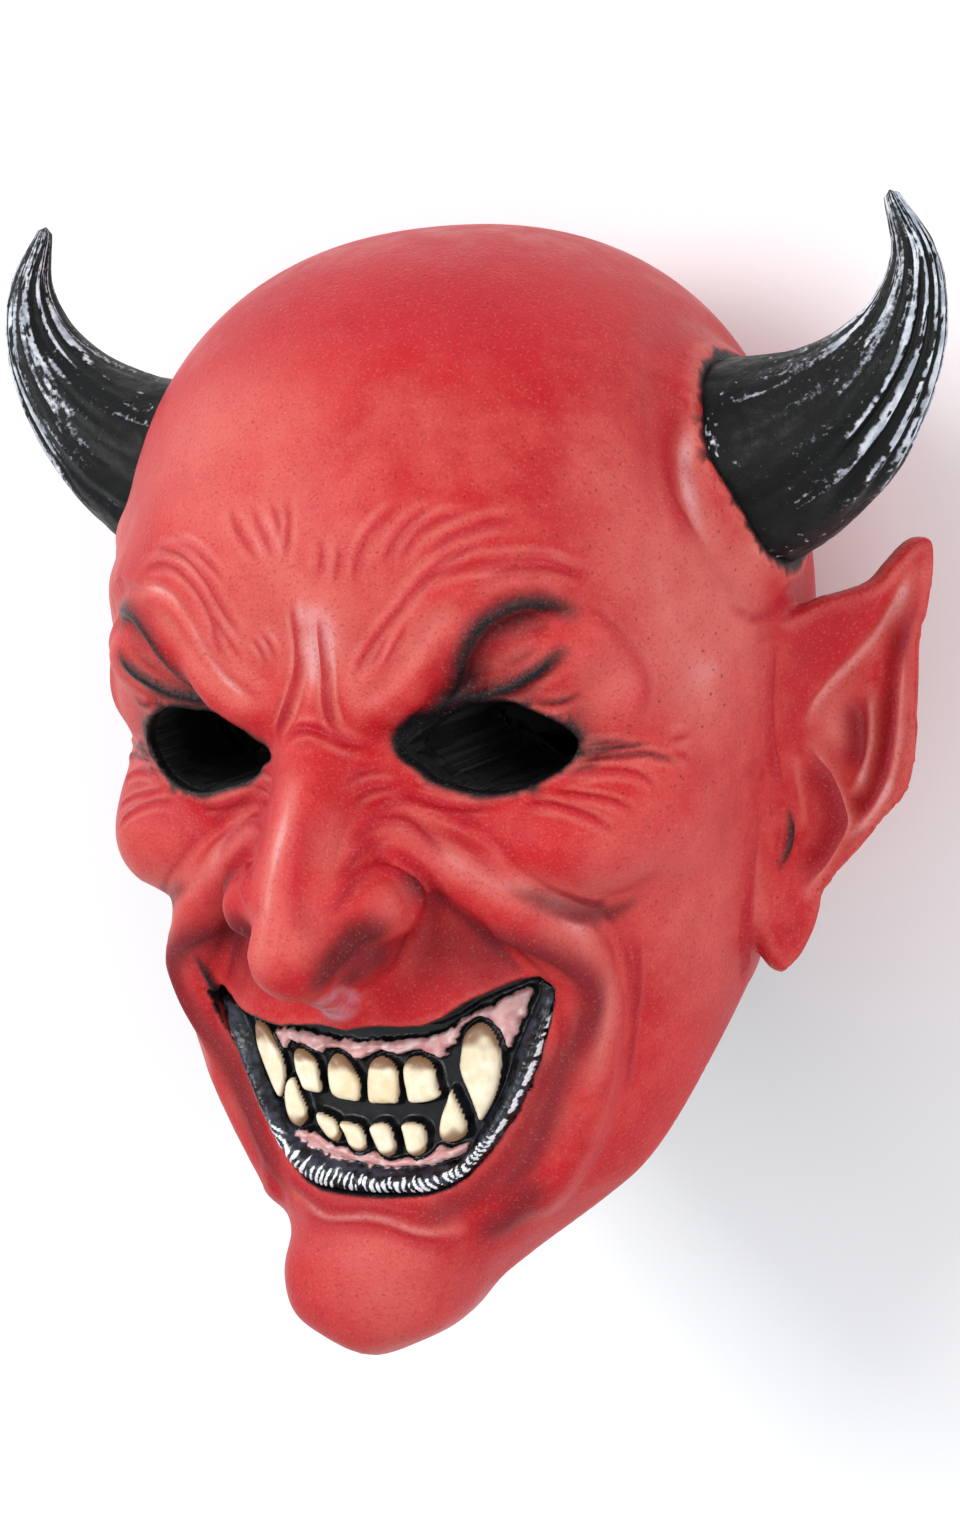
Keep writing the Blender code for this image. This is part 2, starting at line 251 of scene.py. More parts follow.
def face_field(q, d, hollow):
    x, y, z = q.T
    d = smax(d, -ellipsoid(q, (43, 24, 92), (26, 17, 17)), 8)          # eye socket
    d = smin(d, tube(q, BROW, 18), 6)
    d = smin(d, ellipsoid(q, (22, 64, 62), (30, 24, 27)), 20)          # brow boss
    d = smin(d, ellipsoid(q, (57, 37, 59), (19, 13, 16)), 4)           # eyelid
    d = smin(d, ellipsoid(q, (70, 27, 46), (12, 15, 15)), 6)
    d = smin(d, ellipsoid(q, (55, -14, 55), (25, 18, 23)), 6)          # cheek
    d = smin(d, ellipsoid(q, (71, -8, 36), (16, 17, 24)), 10)
    d = smin(d, tube(q, NOSE_BASE, 8), 8)
    d = smin(d, tube(q, NOSE_RIDGE, 12), 8)
    d = smin(d, ellipsoid(q, (18.5, -25.5, 90), (9.5, 9, 12.5)), 3)    # wing of the nose
    d = smin(d, tube(q, [(7, -22, 101, 8.5), (16, -24.5, 94, 8)], 4), 5)
    d = smin(d, tube(q, [(0, -39, 108, 7), (0, -47, 96, 5), (0, -54, 82, 5)], 6), 5)
    d = smin(d, ellipsoid(q, (0, -57, 62), (44, 22, 21)), 10)          # upper lip
    d = smin(d, tube(q, SMILE_FOLD, 18), 5)
    d = smin(d, ellipsoid(q, (0, -132.6, 69.5), (25.5, 16.5, 18.5), 2.7), 12)       # chin
    top, low = np.interp(x, MOUTH_X, MOUTH_TOP), np.interp(x, MOUTH_X, MOUTH_LOW)
    grin = np.maximum(np.maximum(np.maximum(y - top, low - y), sunk(x) - z), x - 54.5)
    return smax(d, -grin, 1.5)


EYE_RING = loop_spline(EYE_HOLE, 60)
NECK_LINE = spline(NECK, 60)


def eye_field(p):
    out = np.full(len(p), 60.0)
    x = np.abs(p[:, 0])
    m = (p[:, 2] > 0) & (x < 90) & (p[:, 1] > -30) & (p[:, 1] < 60)
    if m.any():
        out[m] = np.maximum(polygon(x[m], p[m, 1], EYE_RING), 30 - p[m, 2])
    return out


def skin_field(p):
    """The outside of the casting without its horns: tunnels at the eyes, cut off at the neck."""
    d = head_field(p)
    near = d < 45
    horn = np.full(len(p), 60.0)
    horn[near] = horn_field(p[near])
    d = d - 2.4 * np.exp(-(((horn - 2.5) / 4.0) ** 2)) + 1.4 * np.exp(-(((horn - 13) / 5.0) ** 2))
    d = smin(d, ear_field(p), 5)
    d = smax(d, -eye_field(p), 1.6)
    neck = polygon(p[:, 2], p[:, 1], NECK_LINE)
    return smax(d, -neck, 3.2)


def hollow_field(p):
    return head_field(p, True) + WALL


# ------------------------------------------------------------------ meshes from a field
def surface(field, lo, hi, step):
    """Quads on the zero of a field that is alike on both sides of x = 0, sampled fully only near the surface."""
    nx = 3 * int(math.ceil((hi[0] / step + 2) / 3))
    ny = 3 * int(math.ceil((hi[1] - lo[1]) / step / 3)) + 3
    nz = 3 * int(math.ceil((hi[2] - lo[2]) / step / 3)) + 3
    xs, ys, zs = np.arange(nx + 1) * step, lo[1] + np.arange(ny + 1) * step, lo[2] + np.arange(nz + 1) * step
    Cx, Cy, Cz = np.meshgrid(xs[::3], ys[::3], zs[::3], indexing="ij")
    coarse = field(np.column_stack([Cx.ravel(), Cy.ravel(), Cz.ravel()])).reshape(Cx.shape)

    def finer(V, axis):
        a = np.moveaxis(V, axis, 0)
        out = np.empty((3 * (a.shape[0] - 1) + 1,) + a.shape[1:])
        out[::3] = a
        out[1::3] = a[:-1] * (2 / 3) + a[1:] / 3
        out[2::3] = a[:-1] / 3 + a[1:] * (2 / 3)
        return np.moveaxis(out, 0, axis)

    V = finer(finer(finer(coarse, 0), 1), 2)
    band = np.argwhere(np.abs(V) < 4.2 * step)
    P = np.column_stack([xs[band[:, 0]], ys[band[:, 1]], zs[band[:, 2]]])
    for i in range(0, len(P), 150000):
        V[tuple(band[i:i + 150000].T)] = field(P[i:i + 150000])
    full = np.concatenate([V[:0:-1], V], axis=0)
    grid = openvdb.FloatGrid(50.0)
    grid.copyFromArray(np.ascontiguousarray(full, np.float32))
    pts, quads = grid.convertToQuads(0.0)
    return np.array(pts, float) * step + (-nx * step, ys[0], zs[0]), np.array(quads)[:, ::-1]


def gradient(field, P, e=0.2):
    g = np.empty_like(P)
    for k in range(3):
        a, b = P.copy(), P.copy()
        a[:, k] += e
        b[:, k] -= e
        g[:, k] = (field(a) - field(b)) / (2 * e)
    return g


def settle(field, P, rounds=2, most=2.0):
    for _ in range(rounds):
        g, f = gradient(field, P), field(P)
        n = np.sqrt((g * g).sum(1)) + 1e-6
        P = P - g * (np.clip(f / n, -most, most) / n)[:, None]
    return P


def coords(bm):
    return np.array([v.co[:] for v in bm.verts])


def put(bm, P):
    for v, co in zip(bm.verts, P.tolist()):
        v.co = co


def refine(bm, chosen, field, rounds=2):
    """Splits the chosen faces in four and settles the new points on the field."""
    bm.faces.ensure_lookup_table()
    edges = {e for f, c in zip(bm.faces, chosen) if c for e in f.edges}
    before = len(bm.verts)
    bmesh.ops.subdivide_edges(bm, edges=list(edges), cuts=1, use_grid_fill=True)
    bm.verts.ensure_lookup_table()
    new = [v for v in bm.verts[before:] if all(len(f.verts) == 4 for f in v.link_faces)]
    P = settle(field, np.array([v.co[:] for v in new]), rounds)
    for v, co in zip(new, P.tolist()):
        v.co = co


def centres(bm):
    return np.array([f.calc_center_median()[:] for f in bm.faces])


note("head field")
HEAD_LO, HEAD_HI = (-130, -158, -114), (128, 152, 126)
pts, quads = surface(skin_field, HEAD_LO, HEAD_HI, 2.8)
pts = settle(skin_field, pts, 2)
bm = bmesh.new()
for co in pts.tolist():
    bm.verts.new(co)
bm.verts.ensure_lookup_table()
for a, b, c, d in quads.tolist():
    bm.faces.new((bm.verts[a], bm.verts[b], bm.verts[c], bm.verts[d]))
note(f"base skin {len(pts)} points")

C = centres(bm)
x, y, z = np.abs(C[:, 0]), C[:, 1], C[:, 2]
ear_near = ear_field(C) < 5
rim_near = np.abs(polygon(C[:, 2], C[:, 1], NECK_LINE)) < 5
chosen = ((z > 22) & (y > -150)) | ear_near | rim_near
refine(bm, chosen, skin_field)
note(f"refined once: {len(bm.verts)} points")
C = centres(bm)
x, y, z = np.abs(C[:, 0]), C[:, 1], C[:, 2]
brow_zone = (y > -6) & (y < 84) & (x < 78 - 0.5 * np.clip(y - 62, 0, 99)) & (z > 40)
nose_zone = (y <= -6) & (y > -58) & (x < 40) & (z > 74)
fold_zone = (y <= -6) & (y > -112) & (x < 72 + 0.1 * y) & (z > 50)
grin = np.maximum(y - np.interp(x, MOUTH_X, MOUTH_TOP), np.interp(x, MOUTH_X, MOUTH_LOW) - y)
chosen = (brow_zone | nose_zone | fold_zone) & ~((grin < -5) & (x < 50))
refine(bm, chosen, skin_field, 1)
note(f"refined twice: {len(bm.verts)} points")


# ------------------------------------------------------------------ the casting is not quite even: far half of the grin, chin, eye holes
def far_sag(P):
    x = np.clip(-P[:, 0], 0, None)
    deep = np.interp(x, [8, 18, 27, 33, 39, 45, 50, 54, 62], [0, 0.5, 3, 6, 8, 8.5, 6, 3, 0])
    return deep * np.exp(-(((P[:, 1] + 57) / 12) ** 2)) * ramp(P[:, 2], 30, 50)


def uneven(P):
    P = P.copy()
    P[:, 1] -= far_sag(P)
    P[:, 0] -= 4.2 * ramp(-P[:, 1], 108, 134) * ramp(P[:, 2], 10, 50)
    return P


def eyes_shifted(P):
    """Moves the eye holes sideways in the skin, each point keeping its depth in the wall."""
    x, y, z = P.T
    m = (y > -16) & (y < 56) & (z > 24) & (np.abs(x) < 78)
    x, y = x[m], y[m]
    lift = ramp(z[m], 24, 30)
    near = 6.4 * ramp(x, 3, 17) * ramp(-x, -44, -20)
    far = 4.6 * ramp(-x, 4, 16) * ramp(x, -52, -18)
    move = (near + far) * np.exp(-(((y - 13) / 15) ** 2)) * lift
    drop = 3.8 * np.exp(-(((x + 40) / 15) ** 2) - ((y - 24) / 12) ** 2) * lift
    Q = P[m].copy()
    depth = head_field(Q)
    Q[:, 0] += move
    Q[:, 1] += lift * ramp(np.abs(x), 20, 34) * (2.0 * np.exp(-(((y + 1) / 9) ** 2)) - 1.7 * (x > 0) * np.exp(-(((y - 26) / 9) ** 2))) - drop
    for _ in range(3):
        g = gradient(head_field, Q)
        Q -= g * ((head_field(Q) - depth) / ((g * g).sum(1) + 1e-6))[:, None] * (np.abs(depth) < 12)[:, None]
    P = P.copy()
    P[m] = Q
    return P


even_P = coords(bm)
put(bm, uneven(eyes_shifted(even_P)))
bm.normal_update()
TREE = BVHTree.FromBMesh(bm)


# ------------------------------------------------------------------ strokes: creases and ridges drawn on the skin
STROKES = []      # points, normals, height, width, lip, paint


def on_skin(rows, gap=1.0):
    """Points of the skin under a line drawn in the camera's 960 x 1536 frame."""
    rows = np.array(rows, float)
    length = np.linalg.norm(np.diff(rows, axis=0), axis=1).sum() / 3.57
    line = spline(rows, max(4, int(length / gap)))
    points, normals = [], []
    for px, py in line:
        at, n, _, _ = TREE.ray_cast(Vector(C_EYE), Vector(sight(px, py)))
        if at is not None and (not points or (at - points[-1]).length < 9):
            points.append(at)
            normals.append(n)
    return np.array([v[:] for v in points]), np.array([v[:] for v in normals])


def stroke(rows, height, width, lip=0.0, both=True, **paint):
    """A crease (height < 0) or ridge with a raised lip beside it; both=True repeats it on the other half of the face."""
    points, normals = on_skin(rows)
    if len(points) < 3:
        note(f"a stroke at {rows[0]} misses the skin")
        return
    STROKES.append((points, normals, height, width, lip, paint))
    if both:
        STROKES.append((points * (-1, 1, 1), normals * (-1, 1, 1), height, width, -lip, paint))


def near_line(P, N, points, reach):
    """For the points P close to a line: which, distance along the surface, side and place along the line."""
    lo, hi = points.min(0) - reach, points.max(0) + reach
    which = np.nonzero(((P > lo) & (P < hi)).all(1))[0]
    if not len(which):
        return which, None, None, None
    Q, M = P[which], N[which]
    A, B = points[:-1], points[1:]
    AB = B - A
    best = np.full(len(Q), 1e9)
    W, T, S = np.zeros_like(Q), np.zeros_like(Q), np.zeros(len(Q))
    total = np.linalg.norm(AB, axis=1).cumsum()
    for k in range(len(A)):
        t = np.clip(((Q - A[k]) @ AB[k]) / (AB[k] @ AB[k] + 1e-9), 0, 1)
        w = Q - A[k] - t[:, None] * AB[k]
        d = (w * w).sum(1)
        m = d < best
        best[m], W[m], T[m] = d[m], w[m], AB[k]
        S[m] = (total[k - 1] if k else 0) + t[m] * np.linalg.norm(AB[k])
    up = (W * M).sum(1)
    flat = W - up[:, None] * M
    dist = np.linalg.norm(flat, axis=1)
    side = np.sign((np.cross(T, M) * flat).sum(1))
    ok = (dist < reach) & (np.abs(up) < 9)
    return which[ok], dist[ok], side[ok], S[ok] / max(total[-1], 1e-6)


def carve(P, N):
    """Height to add along the normals, and how far each paint channel of the strokes covers each point."""
    rise = np.zeros(len(P))
    paint = {"black": np.zeros(len(P)), "crimson": np.zeros(len(P)), "maroon": np.zeros(len(P)), "pale": np.zeros(len(P))}
    for points, normals, height, width, lip, wants in STROKES:
        ends = min(0.48, 6.0 / max(len(points), 1) + 0.10)
        reach = max([3.2 * width] + [2.6 * w for _, w in wants.values()])
        which, dist, side, s = near_line(P, N, points, reach)
        if dist is None or not len(which):
            continue
        taper = ramp(s, 0, ends) * ramp(1 - s, 0, ends)
        face = np.clip((N[which] @ normals[len(normals) // 2] + 0.1) * 2, 0, 1)
        h = height * np.exp(-((dist / width) ** 2))
        if lip:
            h = h + lip * side * (dist / width) * np.exp(-((dist / (1.5 * width)) ** 2)) * 1.2
        elif height < 0:
            h = h - 0.28 * height * np.exp(-(((dist - 2.1 * width) / width) ** 2))
        rise[which] += h * taper * face
        for name, (amount, w) in wants.items():
            # glow: a painted highlight along both sides of the crease, put in the pale channel
            if name == "glow":
                got = amount * np.exp(-(((dist - 2.2 * width) / (0.9 * width)) ** 2)) * taper * face
                paint["pale"][which] = np.maximum(paint["pale"][which], got)
                continue
            got = amount * np.exp(-((dist / w) ** 2)) * np.sqrt(taper) * face
            paint[name][which] = np.maximum(paint[name][which], got)
    return rise, paint


# A crease is painted deeper crimson along its floor and maroon beside it, both painted shade; glow is a painted
# highlight along its lips.
def crease(rows, depth, width, lip=0.0, both=True, crimson=0.7, black=0.0, maroon=0.0, spread=1.5, glow=0.0):
    paint = {}
    if glow:
        paint["glow"] = (glow, width)
    if crimson:
        paint["crimson"] = (crimson, width * spread)
    if black:
        paint["black"] = (black, width * spread)
    if maroon:
        paint["maroon"] = (maroon, width * spread * 1.6)
    stroke(rows, -depth, width, lip, both, **paint)


# A ridge is painted pale along its crest: pale paint and painted highlight in one.
def ridge(rows, height, width, both=True, pale=0.6):
    stroke(rows, height, width, 0.0, both, **({"pale": (pale, width * 1.1)} if pale else {}))


# brow, eye and temple
stroke([(405, 728), (420, 716), (437, 702), (450, 688), (457, 668), (464, 648), (480, 624), (504, 608), (530, 602), (556, 606), (584, 618)], -2.6, 2.6, black=(0.8, 2.6))
stroke([(412, 726), (432, 710), (448, 696), (456, 676), (462, 656), (474, 636)], 0, 2.0, black=(0.85, 3.2))
stroke([(430, 718), (450, 704), (462, 682), (468, 660), (480, 638), (500, 622), (526, 613), (556, 614)], -0.2, 3.0, black=(0.6, 4.4), crimson=(0.3, 5.5))
stroke([(424, 718), (440, 706), (458, 699), (482, 695), (508, 688), (532, 675), (550, 662), (570, 644)], -1.5, 1.7, black=(0.88, 1.9), glow=(0.4, 1.7))
stroke([(440, 708), (470, 698), (505, 690), (540, 676)], -0.1, 3.0, black=(0.44, 3.4), crimson=(0.3, 4.5))
crease([(528, 702), (548, 702), (566, 699), (584, 690)], 0.8, 1.0, black=0.45, crimson=0.3, spread=1.0, glow=0.4)
crease([(500, 670), (520, 658), (542, 642)], 0.5, 1.3, black=0.15, crimson=0.4, glow=0.3)
ridge([(470, 672), (500, 664), (524, 650), (540, 636)], 0.8, 3.0, pale=0.5)
ridge([(344, 699), (368, 699), (394, 677), (422, 642), (444, 616), (470, 603)], 1.8, 3.4, pale=0.6)
ridge([(470, 594), (500, 584), (536, 583), (566, 592)], 0.9, 3.0, pale=0.35)
crease([(565, 599), (596, 618), (622, 642), (641, 673), (644, 699), (630, 725)], 1.0, 2.4, crimson=0.6)
crease([(600, 600), (634, 628), (656, 660)], 0.5, 2.0, crimson=0.4)
for rows, ink in (([(576, 742), (610, 737), (636, 729), (656, 716), (672, 696)], 0.42), ([(576, 752), (612, 747), (650, 744)], 0.5), ([(568, 766), (596, 758), (620, 755), (646, 754), (680, 762)], 0.36),
                  ([(580, 747), (604, 742), (632, 741)], 0.36), ([(574, 760), (600, 752), (626, 750)], 0.36), ([(564, 774), (582, 768), (604, 765)], 0.3)):
    crease(rows, 0.85, 0.9, black=ink, crimson=0.6, spread=1.0, glow=0.5)
for rows in ([(562, 777), (596, 772), (620, 772), (644, 778), (660, 793)], [(546, 793), (580, 796), (612, 802), (641, 815)], [(520, 806), (552, 806), (590, 818), (620, 836)],
             [(664, 742), (682, 736), (694, 730)], [(668, 752), (684, 756), (694, 764)], [(400, 792), (424, 800), (452, 806), (500, 808)]):
    crease(rows, 0.75, 1.05, crimson=0.8, spread=1.2, glow=0.5)
# frown
crease([(318, 606), (322, 640), (326, 680), (327, 703), (334, 726), (352, 742)], 2.0, 1.1, both=False, crimson=1.0, spread=1.0, glow=0.7)
crease([(325, 676), (328, 706), (338, 732)], 0.9, 1.2, both=False, crimson=1.0, maroon=0.35, spread=1.0)
crease([(290, 592), (298, 640), (298, 669), (291, 697), (276, 738)], 1.8, 1.05, both=False, crimson=1.0, spread=1.0, glow=0.7)
crease([(294, 684), (287, 710), (274, 742)], 1.0, 1.25, both=False, crimson=1.0, maroon=0.35, spread=1.0)
ridge([(309, 610), (312, 650), (312, 700)], 0.5, 2.4, both=False, pale=1.0)
crease([(283, 740), (302, 729), (324, 733), (346, 742), (374, 746)], 1.3, 1.3, both=False, crimson=0.9, glow=0.4)
crease([(289, 752), (306, 744), (328, 747)], 0.6, 1.2, both=False, crimson=0.6)
# forehead: folds that fan out from the frown
for rows, deep, wide in (
        ([(352, 690), (356, 672), (366, 652), (382, 628), (400, 606), (423, 577), (451, 554), (482, 541)], 1.2, 1.3),
        ([(367, 670), (379, 652), (390, 632)], 0.7, 0.9), ([(376, 676), (390, 654), (402, 632), (410, 612)], 0.6, 1.0),
        ([(409, 596), (429, 577), (457, 568), (491, 563), (537, 560), (571, 570), (596, 584)], 1.1, 1.4),
        ([(440, 570), (460, 553), (484, 542)], 0.6, 1.0), ([(480, 577), (514, 568), (554, 569), (590, 580)], 0.5, 1.2),
        ([(352, 590), (355, 568), (363, 543), (377, 524), (402, 502)], 0.8, 1.3), ([(380, 572), (391, 545), (412, 520), (436, 507)], 0.8, 1.3),
        ([(394, 566), (416, 534), (440, 520), (470, 513)], 0.6, 1.3), ([(420, 560), (446, 540), (484, 524), (520, 520)], 0.6, 1.4),
        ([(283, 494), (288, 520), (286, 548), (280, 566)], 0.6, 1.2), ([(268, 498), (277, 520), (280, 545)], 0.5, 1.1),
        ([(229, 502), (236, 526), (250, 549), (262, 566)], 0.7, 1.2), ([(250, 500), (257, 522), (268, 546), (274, 566)], 0.4, 1.2),
        ([(318, 530), (322, 556), (316, 586)], 0.4, 1.6), ([(340, 534), (338, 566), (332, 590)], 0.4, 1.6)):
    crease(rows, deep * 0.72, wide * 0.92, both=False, crimson=0.75, spread=1.0, glow=0.45)
for rows, deep, wide in (
        ([(150, 549), (168, 549), (187, 556), (206, 577), (223, 606), (246, 642)], 1.0, 1.2), ([(138, 572), (156, 563), (174, 565), (194, 583), (212, 614), (219, 646), (236, 671)], 0.9, 1.2),
        ([(166, 541), (190, 546), (212, 566), (228, 588)], 0.6, 1.1), ([(205, 600), (224, 632), (246, 664)], 0.5, 1.0),
        ([(248, 630), (262, 650), (267, 668)], 0.8, 0.9), ([(256, 624), (271, 646), (275, 664)], 0.6, 0.9)):
    crease(rows, deep, wide, both=False, crimson=0.7, spread=1.1, glow=0.6)
ridge([(131, 592), (148, 588), (166, 595), (182, 614), (196, 640), (213, 670), (236, 692), (266, 712)], 1.2, 1.9, both=False, pale=1.0)
# nose
for rows in ([(340, 783), (362, 770), (390, 769)], [(344, 805), (368, 788), (405, 785)], [(353, 824), (379, 805), (416, 794)], [(344, 860), (366, 827), (401, 820), (420, 831), (448, 860)], [(336, 905), (346, 868), (366, 846), (396, 838)]):
    crease(rows, 0.9, 1.5, crimson=0.8)
for rows in ([(346, 794), (366, 779), (398, 777)], [(350, 815), (374, 797), (410, 790)]):
    ridge(rows, 0.5, 1.4, pale=0.5)
crease([(323, 916), (339, 895), (358, 875), (379, 869), (400, 875), (415, 894), (417, 912), (404, 934)], 1.5, 1.7, crimson=0.9)
# maroon painted shade under the nose, where it meets the upper lip
crease([(302, 992), (318, 981), (337, 960), (356, 939), (373, 931), (398, 929)], 1.2, 2.0, crimson=0.6, maroon=1.0, spread=1.8)
ridge([(283, 770), (288, 790), (280, 830), (275, 850), (268, 880), (264, 910), (258, 950), (256, 984)], 0.8, 3.0, both=False, pale=0.9)
crease([(306, 800), (300, 850), (296, 900), (300, 950)], 0.5, 2.6, both=False, crimson=0.6)
# cheek, fold and smile
ridge([(372, 829), (415, 829), (452, 859), (498, 885), (538, 898), (574, 920), (600, 952)], 1.5, 4.6, pale=0.8)
crease([(398, 872), (414, 890), (452, 912), (498, 935), (548, 958)], 2.4, 2.8, lip=-0.8, crimson=0.6, maroon=0.85, spread=0.9)
crease([(467, 925), (515, 941), (555, 957), (582, 976), (592, 998), (587, 1022), (566, 1062), (542, 1129), (515, 1174), (469, 1212)], 2.0, 2.4, lip=-0.7, crimson=0.7, maroon=0.7)
crease([(558, 1000), (566, 1019), (563, 1046), (550, 1081), (536, 1110)], 1.3, 1.7, crimson=0.7, maroon=0.4)
ridge([(575, 1000), (577, 1030), (562, 1072), (540, 1118)], 0.7, 2.2, pale=0.4)
crease([(629, 928), (636, 950), (638, 982), (635, 1017), (625, 1100)], 0.9, 1.1, crimson=0.9, maroon=0.3)
crease([(621, 934), (628, 958), (630, 985), (627, 1020)], 0.7, 1.0, crimson=0.8)
ridge([(604, 960), (612, 990), (606, 1040), (590, 1100)], 0.9, 3.4, pale=0.7)
# painted shadow under the cheek apple, in maroon
crease([(500, 884), (540, 900), (580, 911), (618, 908), (648, 886)], 1.2, 3.4, crimson=0.4, maroon=0.7, spread=0.62)
ridge([(283, 1183), (313, 1210), (329, 1218), (366, 1215), (386, 1220), (412, 1230), (442, 1233), (469, 1225)], 1.2, 2.0, both=False, pale=0.9)
crease([(290, 1196), (318, 1222), (352, 1226), (386, 1230), (420, 1241), (450, 1243), (480, 1230)], 1.0, 1.7, both=False, crimson=0.8)
crease([(276, 1160), (300, 1188), (334, 1206), (380, 1208), (430, 1216), (462, 1212)], 0.9, 2.2, both=False, crimson=0.8, maroon=0.3)
crease([(469, 1212), (500, 1225), (520, 1205), (545, 1165)], 0.9, 3.0, both=False, crimson=0.5, maroon=0.7)
# a band of maroon painted shade below the lower lip's near side
stroke([(560, 1030), (548, 1078), (526, 1136), (488, 1184), (440, 1212), (400, 1216)], 0, 3.0, both=False, maroon=(0.62, 5.5))
crease([(262, 1150), (272, 1185), (292, 1230)], 0.7, 2.6, both=False, crimson=0.6, maroon=0.3)
crease([(228, 1006), (214, 986), (204, 969), (194, 954)], 1.3, 1.3, both=False, crimson=0.3, black=0.95, spread=0.9)
crease([(606, 1004), (594, 996), (580, 990)], 0.5, 1.0, both=False, crimson=0.6)
# temple, horn foot
crease([(679, 392), (664, 425), (662, 455), (668, 490), (676, 512), (699, 551)], 1.4, 3.4, crimson=0.8)
ridge([(694, 408), (688, 440), (690, 480), (700, 520), (716, 552)], 1.3, 3.4, pale=1.0)
crease([(648, 400), (642, 450), (652, 500), (672, 540)], 0.7, 4.0, crimson=0.5)
crease([(722, 603), (740, 613), (755, 618), (782, 609)], 0.8, 1.3, crimson=0.9)
crease([(770, 628), (760, 640), (750, 650)], 0.4, 1.1, crimson=0.6)
# ear and its foot
# its folds get crimson and maroon painted shade, its ridges pale paint with painted highlight
crease([(774, 640), (769, 699), (772, 756), (783, 794)], 1.6, 1.8, crimson=1.0)
ridge([(918, 556), (898, 612), (866, 654), (834, 689), (802, 734)], 3.4, 2.6, pale=1.0)
crease([(918, 574), (901, 632), (893, 711), (882, 769), (860, 818), (848, 836)], 4.0, 2.0, crimson=1.0, maroon=0.6)
ridge([(902, 640), (901, 700), (898, 750), (889, 788), (862, 829), (834, 857)], 0.9, 2.0, pale=1.0)
ridge([(805, 734), (825, 762), (844, 794), (853, 823), (837, 852), (802, 903)], 3.4, 2.4, pale=1.0)
ridge([(868, 680), (874, 706), (874, 740), (866, 775), (857, 806)], 2.4, 2.0, pale=1.0)
crease([(852, 690), (858, 720), (860, 750), (856, 782)], 2.4, 2.6, crimson=1.0, maroon=0.6)
crease([(804, 746), (822, 774), (834, 806), (836, 830), (818, 864), (796, 890)], 5.2, 3.2, crimson=1.0, maroon=0.5)
ridge([(793, 750), (803, 790), (806, 830)], 0.8, 1.6, pale=0.6)
# the ear canal painted black for the dark inside its hole: painted shade
crease([(788, 807), (790, 828), (786, 852), (778, 872)], 2.2, 1.2, black=0.95, crimson=0, spread=0.8)
crease([(758, 807), (752, 860), (748, 919), (746, 966), (742, 998)], 1.3, 1.3, crimson=0.9)
crease([(772, 936), (792, 930), (806, 920)], 0.8, 1.2, crimson=0.7)
note(f"{len(STROKES)} strokes")

bm.normal_update()
skin = bpy.data.meshes.new("devil_skin")
bm.to_mesh(skin)
bm.free()
note(f"skin faces {len(skin.polygons)}")


def mesh_object(name, P, faces, smooth=True):
    mesh = bpy.data.meshes.new(name)
    mesh.from_pydata(part(P).tolist(), [], [list(map(int, f)) for f in faces])
    mesh.update()
    if smooth:
        mesh.shade_smooth()
    ob = bpy.data.objects.new(name, mesh)
    bpy.context.scene.collection.objects.link(ob)
    return ob


def apply_modifiers(ob):
    graph = bpy.context.evaluated_depsgraph_get()
    mesh = bpy.data.meshes.new_from_object(ob.evaluated_get(graph), preserve_all_data_layers=True, depsgraph=graph)
    old = ob.data
    ob.modifiers.clear()
    ob.data = mesh
    mesh.name = ob.name
    bpy.data.meshes.remove(old)


def vert_array(mesh, what="co"):
    a = np.empty(len(mesh.vertices) * 3)
    mesh.vertices.foreach_get(what, a)
    return a.reshape(-1, 3)


skin_P, skin_N = vert_array(skin), vert_array(skin, "normal")
rise, strokes_paint = carve(skin_P, skin_N)
thin = np.where(ear_field(skin_P) < 1.0, 6.0, 2.5)                # never through the wall; an ear is solid
rise = np.where(rise < 0, -thin * np.tanh(-rise / thin), rise)
skin_P = skin_P + skin_N * rise[:, None]
skin.vertices.foreach_set("co", skin_P.ravel())
skin.update()
note("relief carved")
skin.transform(Matrix.Diagonal((0.001, 0.001, 0.001, 1)) @ Matrix.Translation((0, -MIDDLE_Y, -FLAT_Z)))
skin.shade_smooth()
devil = bpy.data.objects.new("devil_skin", skin)
bpy.context.scene.collection.objects.link(devil)

pts, quads = surface(hollow_field, HEAD_LO, HEAD_HI, 3.6)
pts = uneven(settle(hollow_field, pts, 2))
hollow = mesh_object("hollow", pts, quads)
cut = devil.modifiers.new("hollow", "BOOLEAN")
cut.operation, cut.object, cut.solver = "DIFFERENCE", hollow, "MANIFOLD"
apply_modifiers(devil)
bpy.data.objects.remove(hollow, do_unlink=True)
note(f"shell {len(devil.data.vertices)} points {len(devil.data.polygons)} faces, tris {len(devil.data.loop_triangles)}")


# ------------------------------------------------------------------ paint masks on the skin
def spot(px, py, size, both=True):
    """A soft round patch round the skin's point under (px, py), size in millimetres; it lays airbrushed paint, painted
    shade and painted highlight alike.
    """
    at, _, _, _ = TREE.ray_cast(Vector(C_EYE), Vector(sight(px, py)))
    at = np.array(at[:])
    out = np.exp(-(((skin_P - at) ** 2).sum(1)) / size ** 2)
    if both:
        out = np.maximum(out, np.exp(-(((skin_P - at * (-1, 1, 1)) ** 2).sum(1)) / size ** 2))
    return out


def cover(*layers):
    left = 1.0
    for layer in layers:
        left = left * (1 - np.clip(layer, 0, 1))
    return 1 - left


